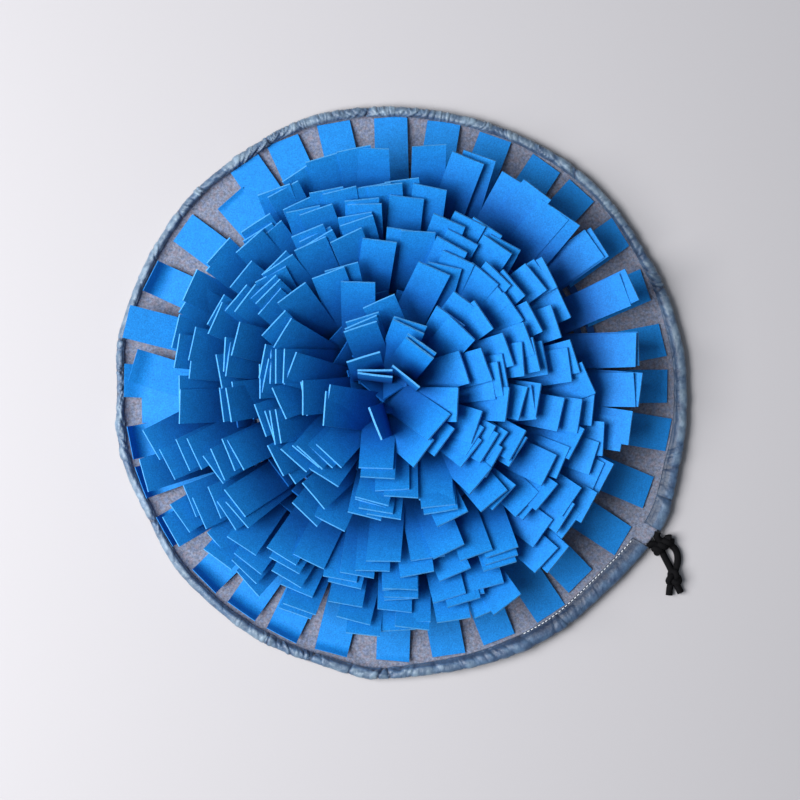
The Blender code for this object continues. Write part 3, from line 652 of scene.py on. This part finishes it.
def casing_stitches(settings):
    """Short rounded threads, end to end with gaps, along the hem where the casing lies flat."""
    azimuth = np.arange(*STITCH_SPAN, math.degrees(settings.stitch_pitch / HEM_RADIUS))
    start, radius, straight, tilt, width = rim_measures(azimuth)
    r, z = on_rim(start, radius, tilt, straight - HEM_SHARE * width, STITCH_LIFT)
    way, side = outward(azimuth), outward(azimuth + 90.0)
    middle = way * r[:, None] + MAT_PLACE
    middle[:, 2] = z
    sides = 6
    turn = np.linspace(0, 2 * math.pi, sides, endpoint=False)
    reach = np.array((-1.0, -0.75, 0.0, 0.75, 1.0)) * STITCH_LENGTH / 2
    thick = np.array((0.12, 0.8, 1.0, 0.8, 0.12)) * STITCH_THICK / 2
    points = (middle[:, None, None, :] + side[:, None, None, :] * reach[None, :, None, None]
              + way[:, None, None, :] * (thick[:, None] * np.cos(turn))[None, :, :, None])
    points[..., 2] += (thick[:, None] * np.sin(turn))[None]
    one = grid_faces(len(reach), sides, wrap_columns=True)
    # Two squares close the ring of six points at each end of a stitch.
    ends = np.array(((0, 5, 4, 1), (1, 4, 3, 2), (24, 25, 28, 29), (25, 26, 27, 28)))
    one = np.concatenate([one[:, ::-1], ends[:, ::-1]])
    faces = one[None] + (np.arange(len(azimuth)) * len(reach) * sides)[:, None, None]
    return make_piece("casing_stitches", points, faces,
                      [plain_finish("white_thread", (0.66, 0.70, 0.76), 0.6)])


# --- rows of tabs --------------------------------------------------------------------------------
def row_radius(row):
    """Radius of the circle that a row is sewn on."""
    return LAST_ROW if row == ROW_COUNT - 1 else FIRST_ROW - ROW_STEP * row


def row_centre(radius):
    """The rows close in on a point up and left of the mat's middle, with the square of how far in
    they lie."""
    inward = (1.0 - np.asarray(radius) / FIRST_ROW)[..., None] ** 2
    return FIRST_CENTRE + (LAST_CENTRE - FIRST_CENTRE) * inward


def reach_at(radius, azimuth):
    """How far tabs reach out by their tips' distance from the middle: as REACH says at its two
    radii, straight between, and never further back than the middle."""
    edge, inside = np.moveaxis(read_round(REACH, azimuth), -1, 0)
    inner, outer = REACH_RADII
    share = np.clip((radius - inner) / (outer - inner), 0, 1)
    reach = (inside + (edge - inside) * share) * MM
    return np.clip(np.minimum(reach, radius - 4 * MM), 3 * MM, None)


def tab_slopes(reach, length, droop):
    """Slopes at root and tip of tabs that droop evenly and reach this far: the mean slope's cosine
    is the reach over the length, put right for the droop by repeating, and kept below 1."""
    share = np.clip(reach / length, 0.0, 0.97)
    mean = np.arccos(share)
    for _ in range(8):
        half = droop * mean / 2
        mean = np.arccos(np.clip(share * half / np.sin(half), 0.0, 0.985))
    root = np.minimum(mean * (1.0 + droop / 2), STEEPEST_ROOT)
    return root, 2 * mean - root


def rim_wall(azimuth):
    """Radius of the casing's inner edge as seen from above. It lies further up the run where the
    rim is steeper: by half of the casing's width times the square of the sine of the tilt."""
    start, radius, _, tilt, width = rim_measures(azimuth)
    run = BARE_RIM + 0.5 * width * np.sin(tilt) ** 2
    return on_rim(start, radius, tilt, run, CASING_HEIGHT)[0]


def tab_slope(tabs, s):
    """A tab's slope at these shares of its length. A turned-up end rises on an arc first, and runs
    straight on."""
    last = np.clip(1 - (1 - s) * (tabs["length"] / tabs["bend_length"])[:, None], 0, 1)
    return (tabs["root_slope"][:, None] + (tabs["tip_slope"] - tabs["root_slope"])[:, None] * s
            + tabs["bend"][:, None] * np.minimum(last / BEND_ARC, 1.0))


def tab_shells(tabs, settings):
    """Points (tab, along, across, side, xyz) of closed felt tabs. A tab's middle line leaves its
    root at the root slope, which falls evenly to the tip slope while its course turns a little; its
    width is laid across that line, rolled and cupped towards the tip, and half of the thickness is
    put on each side of it, less at a turned-up end."""
    along_steps, across_steps, fine = tabs["steps"], 2, 6
    s = (np.arange(along_steps * fine) + 0.5) / (along_steps * fine)
    course = tabs["azimuth"][:, None] + tabs["turn"][:, None] * s
    step = outward(course, tab_slope(tabs, s)) * (tabs["length"] / len(s))[:, None, None]
    line = np.cumsum(step, axis=1)
    line = np.concatenate([np.zeros_like(line[:, :1]), line], axis=1)[:, ::fine]
    middle = tabs["root"][:, None, :] + line

    s = np.linspace(0, 1, along_steps + 1)
    course = tabs["azimuth"][:, None] + tabs["turn"][:, None] * s
    forward, level = outward(course, tab_slope(tabs, s)), outward(course + 90.0)
    top = np.cross(forward, level)
    roll = np.radians(tabs["roll"][:, None] * s)[..., None]
    side = level * np.cos(roll) + top * np.sin(roll)
    top = np.cross(forward, side)

    v = np.linspace(-1, 1, across_steps + 1)
    half = settings.tab_width / 2
    cup = tabs["cup"][:, None] * s
    skew = tabs["skew"][:, None] * s ** 3
    surface = (middle[:, :, None, :]
               + side[:, :, None, :] * (v * half)[None, None, :, None]
               + top[:, :, None, :] * (cup[..., None] * (v ** 2 - 0.5))[..., None]
               + forward[:, :, None, :] * (skew[..., None] * v)[..., None])
    thin = 1 - THIN_END * (tabs["bend"] > 0)[:, None] * s ** 16
    offset = (top * thin[..., None])[:, :, None, :] * settings.tab_thick / 2
    return np.stack([surface + offset, surface - offset], axis=3)


def shell_faces(rows, columns):
    """Squares of a closed sheet whose points are numbered along, across, then top and under, with
    a mark on those of the cut edge."""
    number = np.arange(rows * columns * 2).reshape(rows, columns, 2)
    upper, under = number[..., 0], number[..., 1]

    def squares(a):
        return np.stack([a[:-1, :-1], a[1:, :-1], a[1:, 1:], a[:-1, 1:]], -1).reshape(-1, 4)

    rim = np.concatenate([upper[0, :-1], upper[:-1, -1], upper[-1, :0:-1], upper[:0:-1, 0]])
    rim_under = np.concatenate([under[0, :-1], under[:-1, -1], under[-1, :0:-1], under[:0:-1, 0]])
    edge = np.stack([rim, np.roll(rim, -1), np.roll(rim_under, -1), rim_under], axis=-1)
    faces = np.concatenate([squares(upper), squares(under)[:, ::-1], edge])
    cut = np.zeros(len(faces), bool)
    cut[-len(edge):] = True
    return faces, cut


def row_band(row):
    """The sewn foot of a row: a low square wall round the row's circle. The last one fills the
    circle of the row before it, but for a small hole."""
    stations = 96
    azimuth = np.linspace(0, 360, stations, endpoint=False)
    radius = row_radius(row)
    inner, outer = radius - BAND_INSIDE, radius + BAND_OUTSIDE
    if row == ROW_COUNT - 1:
        inner, outer = 0.5 * MM, row_radius(row - 1)
    profile = ((inner, 0.0), (outer, 0.0), (outer, BAND_HEIGHT), (inner, BAND_HEIGHT))
    points = np.stack([outward(azimuth) * r + (0, 0, z) for r, z in profile], axis=1)
    points = points + row_centre(radius) + MAT_PLACE + (0, 0, ROOT_HEIGHT)
    return points.reshape(-1, 3), grid_faces(stations, 4, wrap_rows=True, wrap_columns=True)


def flat_tabs():
    """Roots, azimuths, reaches and slopes of the first row, which lies on the base. The slope is 0
    for all but the overlaid tabs. A tab that turns from its spoke still starts on the circle."""
    flat = np.array(FLAT_TIPS, float)
    tip = outward(flat[:, 0]) * flat[:, 1:] * MM
    spoke = tip - FIRST_CENTRE
    azimuth = np.degrees(np.arctan2(spoke[:, 1], spoke[:, 0]))
    turned, slope = np.zeros(len(flat)), np.zeros(len(flat))
    for place, turn, rise in OVERLAID_TABS:
        turned[flat[:, 0] == place], slope[flat[:, 0] == place] = turn, rise
    away, across = np.linalg.norm(spoke, axis=1), np.radians(turned)
    reach = away * np.cos(across) - np.sqrt(FIRST_ROW ** 2 - (away * np.sin(across)) ** 2)
    azimuth = azimuth + turned
    return tip - outward(azimuth) * reach[:, None], azimuth, reach, np.radians(slope)


def filler_tabs():
    """Roots and azimuths of the short tabs, spread evenly round each of their rings."""
    rings = [np.linspace(0, 360, max(5, round(2 * math.pi * r * MM / FILLER_PITCH)),
                         endpoint=False) + 3 * r for r in FILLER_RINGS]
    azimuth = np.concatenate(rings)
    radius = np.repeat(FILLER_RINGS, [len(ring) for ring in rings]) * MM
    return row_centre(radius) + outward(azimuth) * radius[:, None], azimuth


def standing_tabs():
    """Roots, azimuths and reaches of the tabs of TAB_TIPS and of the fillers, which of them are
    fillers, and the row that each belongs to: the one whose circle is nearest its root."""
    tips = np.array(TAB_TIPS, float)
    tip = np.column_stack([tips[:, :2] * MM, np.zeros(len(tips))])
    spoke = tip - LAST_CENTRE
    reach = reach_at(np.linalg.norm(spoke, axis=1),
                     np.degrees(np.arctan2(spoke[:, 1], spoke[:, 0])))
    for x, y, short in STEEP_TABS:
        reach[np.argmin(np.hypot(tips[:, 0] - x, tips[:, 1] - y))] = short * MM
    root = tip - outward(tips[:, 2]) * reach[:, None]
    filler_root, filler_azimuth = filler_tabs()
    count = len(filler_azimuth)
    root = np.concatenate([root, filler_root])
    azimuth = np.concatenate([tips[:, 2], filler_azimuth])
    reach = np.concatenate([reach, np.full(count, FILLER_REACH)])
    short = np.arange(len(root)) >= len(tips)
    radius = np.linalg.norm(root - LAST_CENTRE, axis=1)
    row = np.clip(np.rint((FIRST_ROW - radius) / ROW_STEP), 1, ROW_COUNT - 1).astype(int)
    return root, azimuth, reach, short, row


def turned_up(place, reach, length):
    """Lengths of the first row's tabs with their turned-up ends, and how far (rad) and over what
    length those bend. An end's length follows from its rise: an arc, and then a straight run."""
    bend, end_length = np.zeros(len(place)), np.ones(len(place))
    for tip_azimuth, rise, steepest in BENT_TABS:
        bent, turned = place == tip_azimuth, math.radians(steepest)
        arc, run = BEND_ARC / turned, 1 - BEND_ARC
        end = rise * MM / (arc * (1 - math.cos(turned)) + run * math.sin(turned))
        level = end * (arc * math.sin(turned) + run * math.cos(turned))
        back = TURNED_BACK * (rise + TURNED_BASE) * MM
        bend[bent], end_length[bent] = turned, end
        length[bent] = reach[bent] - level - back + end
    return length, bend, end_length


def row_tabs(row, settings):
    """The measures of a row's tabs, one value a tab, and which of them are fillers. The first row's
    flat ones stop where the casing stands in their way."""
    draw = np.random.default_rng(90 + row)
    if row == 0:
        root, azimuth, reach, slope = flat_tabs()
        short = np.zeros(len(azimuth), bool)
    else:
        root, azimuth, reach, short, rows = standing_tabs()
        root, azimuth, reach, short = (a[rows == row] for a in (root, azimuth, reach, short))
    count = len(azimuth)
    root = root + MAT_PLACE
    turn = draw.uniform(-TURN_SPREAD, TURN_SPREAD, count) * (FLAT_TURN if row == 0 else 1.0)
    if row == 0:
        root[:, 2] = ROOT_HEIGHT + FLAT_ROOT
        place = np.array(FLAT_TIPS)[:, 0]
        room = rim_wall(place) - np.linalg.norm(root[:, :2] - MAT_PLACE[:2], axis=1)
        level = slope == 0
        slope = np.where(level, (FLAT_TIP - FLAT_ROOT) / reach, slope)
        length = np.where(level, np.minimum(reach, room), reach / np.cos(slope))
        length, bend, bend_length = turned_up(place, reach, length)
        root_slope, tip_slope = slope, slope
    else:
        root[:, 2] = ROOT_HEIGHT + STANDING_ROOT
        length = np.where(short, FILLER_LENGTH, settings.tab_length)
        length = length + draw.uniform(-LENGTH_SPREAD, LENGTH_SPREAD, count)
        root_slope, tip_slope = tab_slopes(reach, length, settings.droop)
        bend, bend_length = np.zeros(count), np.ones(count)
    roll = draw.uniform(-ROLL_SPREAD, ROLL_SPREAD, count) * (FLAT_ROLL if row == 0 else 1.0)
    return {
        "root": root, "azimuth": azimuth, "turn": turn, "length": length,
        "root_slope": root_slope, "tip_slope": tip_slope, "roll": roll,
        "cup": draw.uniform(-CUP_SPREAD, CUP_SPREAD, count),
        "skew": draw.uniform(-SKEW_SPREAD, SKEW_SPREAD, count),
        "bend": bend, "bend_length": bend_length,
        "steps": STANDING_STEPS if row else FLAT_STEPS,
    }, short


def fringe_row(row, settings, finishes):
    """A row of tabs and its sewn foot as one piece, its number of tabs and their mean length. The
    cut edges of the long standing tabs have the second, paler finish, partly own colour, partly
    painted highlight."""
    tabs, short = row_tabs(row, settings)
    count = len(short)
    shells = tab_shells(tabs, settings)
    one, cut = shell_faces(shells.shape[1], shells.shape[2])
    size = int(np.prod(shells.shape[1:4]))
    faces = (one[None] + (np.arange(count) * size)[:, None, None]).reshape(-1, 4)
    band, band_faces = row_band(row)
    points = np.concatenate([shells.reshape(-1, 3), band])
    faces = np.concatenate([faces, band_faces + count * size])
    # The paler cut edges are partly the felt's own colour and partly a painted highlight; the flat
    # row and the fillers don't get them.
    pale_cut_and_highlight = ~short & (row > 0)
    finish = np.concatenate([(pale_cut_and_highlight[:, None] & cut).ravel(), np.zeros(len(band_faces), bool)])
    piece = make_piece(f"fringe_row_{row + 1:02d}", points, faces, finishes, finish,
                       sharp=math.radians(40))
    # Marks for the painted shade: a standing tab darkens from its tip (1) to its root (0), a filler
    # stays darker, the flat row gets none and the sewn feet the most.
    along = np.ones(shells.shape[:-1])
    if row:
        along *= np.linspace(0, 1, shells.shape[1])[None, :, None, None]
        along[short] *= FILLER_SHADE
    mark_points(piece, "along", np.concatenate([along.ravel(), np.zeros(len(band))]))
    return piece, count, float(tabs["length"].mean())


# --- drawcord ------------------------------------------------------------------------------------
def smooth_line(points, spacing):
    """Points this far apart along the Catmull-Rom curve through the given ones."""
    p = np.array(points, float)
    p = np.concatenate([[2 * p[0] - p[1]], p, [2 * p[-1] - p[-2]]])
    a, b, c, d = p[:-3], p[1:-2], p[2:-1], p[3:]
    steps = 12
    t = np.linspace(0, 1, steps, endpoint=False)[None, :, None]
    a, b, c, d = (k[:, None, :] for k in (a, b, c, d))
    line = 0.5 * (2 * b + (c - a) * t + (2 * a - 5 * b + 4 * c - d) * t ** 2
                  + (3 * b - a - 3 * c + d) * t ** 3)
    line = np.concatenate([line.reshape(-1, 3), p[-2:-1]])
    run = np.concatenate([[0], np.cumsum(np.linalg.norm(np.diff(line, axis=0), axis=1))])
    even = np.linspace(0, run[-1], max(8, int(run[-1] / spacing)))
    return np.stack([np.interp(even, run, line[:, k]) for k in range(3)], axis=-1)


def cord_curve(name, lines, diameter, finish):
    """A round cord along each of these lines of points (mm)."""
    curve = bpy.data.curves.new(name, "CURVE")
    curve.dimensions = "3D"
    curve.bevel_depth = diameter / 2
    curve.bevel_resolution = 4
    curve.use_fill_caps = True
    for line in lines:
        spline = curve.splines.new("POLY")
        spline.points.add(len(line) - 1)
        places = np.column_stack([line * MM + MAT_PLACE, np.ones(len(line))])
        spline.points.foreach_set("co", places.astype(np.float32).ravel())
        spline.use_smooth = True
    curve.materials.append(finish)
    piece = bpy.data.objects.new(name, curve)
    bpy.context.scene.collection.objects.link(piece)
    return piece


CORD_STEP = 1.6               # mm from one point of a cord's curve to the next
TIGHT_CORD = 0.92             # thickness of the cord in the pulled end knot, of its usual
# The drawcord's two ends from the casing to their tips (mm from the mat's middle).
CORD_LINES = {
    "drawcord_a": ((192.3, -120.0, 6.0), (195.3, -118.4, 6.0), (199.2, -118.6, 5.4),
                   (202.4, -121.0, 4.8), (204.4, -125.6, 3.2), (206.8, -130.4, 2.75),
                   (209.4, -135.4, 2.75), (211.6, -140.6, 3.4), (212.0, -146.6, 3.4),
                   (210.2, -152.8, 2.75), (209.6, -159.0, 2.75)),
    "drawcord_b": ((200.1, -109.0, 6.2), (199.4, -112.4, 6.2), (202.0, -115.6, 5.4),
                   (206.8, -117.4, 4.8), (211.4, -119.8, 3.4), (215.0, -123.8, 2.75),
                   (216.4, -129.0, 2.75), (216.0, -134.6, 2.75), (214.2, -140.2, 3.4),
                   (213.6, -146.2, 3.4), (216.2, -151.8, 2.75), (218.8, -157.0, 2.75)),
}


def half_knot_lines():
    """Two strands wound round each other along the knot's axis: each is a helix of nearly
    two turns, half a turn from the other, swelling in the middle."""
    centre, lie, length, turns = np.array((204.6, -119.2, 4.9)), 38.0, 16.0, 1.7
    axis, level, up = outward(lie), outward(lie + 90.0), np.array((0, 0, 1.0))
    t = np.linspace(0, 1, 40)
    swell = 2.0 + 0.3 * np.sin(t * math.pi)
    lines = []
    for start in (0.0, math.pi):
        angle = start + t * turns * 2 * math.pi
        lines.append(centre + axis * (t[:, None] - 0.5) * length
                     + level * (np.cos(angle) * swell)[:, None]
                     + up * (np.sin(angle) * swell)[:, None])
    return lines


def end_knot_line():
    """A tight overhand knot: the threefold knot curve (sin t + 2 sin 2t, cos t - 2 cos 2t,
    -sin 3t), a little longer along the cord than across it."""
    centre, lie = np.array((212.8, -145.2, 5.4)), 275.0
    across, along, high = 1.58, 1.74, 1.9
    t = np.linspace(0, 2 * math.pi, 72)
    x = (np.sin(t) + 2 * np.sin(2 * t)) * across
    y = (np.cos(t) - 2 * np.cos(2 * t)) * along
    line = x[:, None] * outward(lie + 90.0) + y[:, None] * outward(lie)
    line[:, 2] = -np.sin(3 * t) * high
    return line + centre


# --- settings ------------------------------------------------------------------------------------
def length_setting(name, description, default):
    """A setting for a length in metres."""
    return FloatProperty(name=name, description=description, default=default, unit="LENGTH")


def share_setting(name, description, default, low, high):
    """A setting for a share, between these limits."""
    return FloatProperty(name=name, description=description, default=default, subtype="FACTOR",
                         min=low, max=high)


def colour_setting(name, description, default):
    """A setting for a colour."""
    return FloatVectorProperty(name=name, description=description, subtype="COLOR", size=3,
                               default=default, min=0, max=1)


class MatTabSettings(PropertyGroup):
    """The felt tabs"""

    tab_width: length_setting("Tab Width", "Width of a felt tab", 26 * MM)
    tab_thick: length_setting("Tab Thickness", "Thickness of the tabs' felt", 1.45 * MM)
    tab_length: length_setting("Tab Length", "Free length of a tab above its seam", 68 * MM)
    droop: share_setting("Droop", "Share of its slope that a tab loses from root to tip",
                         0.35, 0.05, 1)
    tab_colour: colour_setting("Felt Colour", "Colour of the tabs' faces", (0.006, 0.188, 0.57))
    # The cut edges are paler: partly the felt's own colour, partly a painted highlight.
    cut_colour: colour_setting("Cut Edge Colour", "Colour of the tabs' cut edges",
                               (0.06, 0.30, 0.66))
    mottle: share_setting("Mottle", "How much the felt's colour wanders", 0.07, 0, 0.5)


class MatRimSettings(PropertyGroup):
    """The base and its casing"""

    base_colour: colour_setting("Base Colour", "Mean colour of the heathered felt base",
                                (0.158, 0.182, 0.245))
    casing_colour: colour_setting("Casing Colour", "Colour of the satin casing",
                                  (0.114, 0.174, 0.248))
    gather: share_setting("Gather", "Height of the casing's gathers, of their usual", 1, 0, 2)
    stitch_pitch: length_setting("Stitch Pitch", "From one stitch of the hem to the next",
                                 3.3 * MM)


class MatCordSettings(PropertyGroup):
    """The drawcord"""

    diameter: length_setting("Cord Diameter", "Diameter of the drawcord", 5.4 * MM)
    cord_colour: colour_setting("Cord Colour", "Colour of the drawcord", (0.003, 0.003, 0.004))


class MatStageSettings(PropertyGroup):
    """The floor, the lights and the camera"""

    floor_colour: colour_setting("Floor Colour", "Colour of the plain floor",
                                 (0.41, 0.403, 0.428))
    camera_height: length_setting("Camera Height", "Height of the camera over the floor", 1.3)
    view_width: length_setting("View Width", "Width of floor that the picture takes in", 0.6304)
    key_watts: IntProperty(
        name="Key Light", description="Power of the key light in watts", default=90, min=1)
    top_watts: IntProperty(
        name="Top Light", description="Power of the wide light overhead in watts", default=10,
        min=0)
    fill_strength: FloatProperty(
        name="Fill", description="Strength of the even light from all round", default=0.10,
        min=0)


# --- operators -----------------------------------------------------------------------------------
class SNUFFLE_OT_base(Operator):
    """Builds the felt base with its curled rim"""

    bl_idname = "snuffle.base"
    bl_label = "Felt Base"

    def execute(self, context):
        piece = felt_base(context.scene.mat_rim)
        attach(piece, "root")
        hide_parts("felt_base")
        return {"FINISHED"}


class SNUFFLE_OT_casing(Operator):
    """Builds the gathered casing round the rim and the stitches of its hem"""

    bl_idname = "snuffle.casing"
    bl_label = "Gathered Casing"

    def execute(self, context):
        rim = context.scene.mat_rim
        piece = edge_casing(rim)
        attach(piece, "root")
        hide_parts("edge_casing")
        stitches = casing_stitches(rim)
        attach(stitches, "root")
        return {"FINISHED"}


class SNUFFLE_OT_fringe(Operator):
    """Builds the rows of felt tabs"""

    bl_idname = "snuffle.fringe"
    bl_label = "Felt Tabs"

    def execute(self, context):
        settings = context.scene.mat_tabs
        finishes = [
            blue_felt_finish("blue_felt_face", tuple(settings.tab_colour), settings.mottle),
            blue_felt_finish("blue_felt_cut", tuple(settings.cut_colour), settings.mottle),
        ]
        for row in range(ROW_COUNT):
            piece, count, length = fringe_row(row, settings, finishes)
            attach(piece, "root")
            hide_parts(f"felt_fringe_{row + 1:02d}")
        return {"FINISHED"}


class SNUFFLE_OT_drawcord(Operator):
    """Builds the two ends of the drawcord and their knots"""

    bl_idname = "snuffle.drawcord"
    bl_label = "Drawcord"

    def execute(self, context):
        settings = context.scene.mat_cord
        finish = cord_finish(tuple(settings.cord_colour))
        half = cord_curve("half_knot", half_knot_lines(), settings.diameter, finish)
        end = cord_curve("end_knot", [end_knot_line()], settings.diameter * TIGHT_CORD,
                         finish)
        for piece, node in ((half, "cord_half_knot"), (end, "cord_end_knot")):
            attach(piece, "root")
            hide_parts(node)
        for name, points in CORD_LINES.items():
            line = smooth_line(points, CORD_STEP)
            piece = cord_curve(name, [line], settings.diameter, finish)
            letter = name[-1]
            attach(piece, "root")
            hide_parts(*(f"cord_{part}_{letter}" for part in ("exit", "strand", "tail")))
        return {"FINISHED"}


class SNUFFLE_OT_stage(Operator):
    """Sets up the floor, the lights and the camera over the mat"""

    bl_idname = "snuffle.stage"
    bl_label = "Stage"

    def execute(self, context):
        stage = context.scene.mat_stage
        corners = np.array(((-1, -1, 0), (1, -1, 0), (1, 1, 0), (-1, 1, 0))) * FLOOR_SIZE / 2
        floor = make_piece("floor", corners, np.array(((0, 1, 2, 3),)),
                           [plain_finish("floor_paint", tuple(stage.floor_colour), 0.9)])
        add_light("key_light", place=(-1.32, -0.10, 1.52), size=1.40, watts=stage.key_watts,
                  colour=(1.0, 0.99, 0.97))
        add_light("top_light", place=(-0.3, 0.1, 2.2), size=1.8, watts=stage.top_watts,
                  colour=(0.97, 0.98, 1.0))
        world = bpy.data.worlds.new("studio")
        world.use_nodes = True
        background = world.node_tree.nodes["Background"]
        background.inputs["Color"].default_value = (0.62, 0.80, 1.0, 1.0)
        background.inputs["Strength"].default_value = stage.fill_strength
        context.scene.world = world
        context.scene.view_settings.view_transform = "Standard"
        camera = bpy.data.cameras.new("overhead")
        camera.sensor_width = SENSOR_WIDTH
        camera.lens = SENSOR_WIDTH * stage.camera_height / stage.view_width
        placed = bpy.data.objects.new("overhead", camera)
        placed.location = (*CAMERA_PLACE, stage.camera_height)
        context.scene.collection.objects.link(placed)
        context.scene.camera = placed
        return {"FINISHED"}


def add_light(name, place, size, watts, colour):
    """A square area light that faces the mat's middle."""
    light = bpy.data.lights.new(name, "AREA")
    light.size = size
    light.energy = watts
    light.color = colour
    lamp = bpy.data.objects.new(name, light)
    lamp.location = place
    lamp.rotation_mode = "QUATERNION"
    lamp.rotation_quaternion = Vector(place).to_track_quat("Z", "Y")
    bpy.context.scene.collection.objects.link(lamp)


class SNUFFLE_PT_panel(Panel):
    """The mat's settings and the buttons that build it"""

    bl_idname = "SNUFFLE_PT_panel"
    bl_label = "Snuffle Mat"
    bl_space_type = "VIEW_3D"
    bl_region_type = "UI"
    bl_category = "Snuffle Mat"

    def draw(self, context):
        for operator, group in STEPS:
            box = self.layout.box()
            box.operator(operator.bl_idname)
            settings = getattr(context.scene, group)
            for name in settings.__annotations__:
                box.prop(settings, name)


STEPS = (
    (SNUFFLE_OT_base, "mat_rim"),
    (SNUFFLE_OT_casing, "mat_rim"),
    (SNUFFLE_OT_fringe, "mat_tabs"),
    (SNUFFLE_OT_drawcord, "mat_cord"),
    (SNUFFLE_OT_stage, "mat_stage"),
)
GROUPS = {
    "mat_tabs": MatTabSettings,
    "mat_rim": MatRimSettings,
    "mat_cord": MatCordSettings,
    "mat_stage": MatStageSettings,
}


def register():
    """Adds the settings, the operators and the panel to Blender."""
    for group in GROUPS.values():
        bpy.utils.register_class(group)
    for operator, _ in STEPS:
        bpy.utils.register_class(operator)
    bpy.utils.register_class(SNUFFLE_PT_panel)
    for name, group in GROUPS.items():
        setattr(bpy.types.Scene, name, PointerProperty(type=group))


def unregister():
    """Takes them away again, in the opposite order."""
    for name in GROUPS:
        delattr(bpy.types.Scene, name)
    bpy.utils.unregister_class(SNUFFLE_PT_panel)
    for operator, _ in reversed(STEPS):
        bpy.utils.unregister_class(operator)
    for group in reversed(list(GROUPS.values())):
        bpy.utils.unregister_class(group)


def main():
    """Builds the mat and its stage by the operators."""
    register()
    for operator, _ in STEPS:
        group, name = operator.bl_idname.split(".")
        getattr(getattr(bpy.ops, group), name)()


if __name__ == "__main__":
    main()
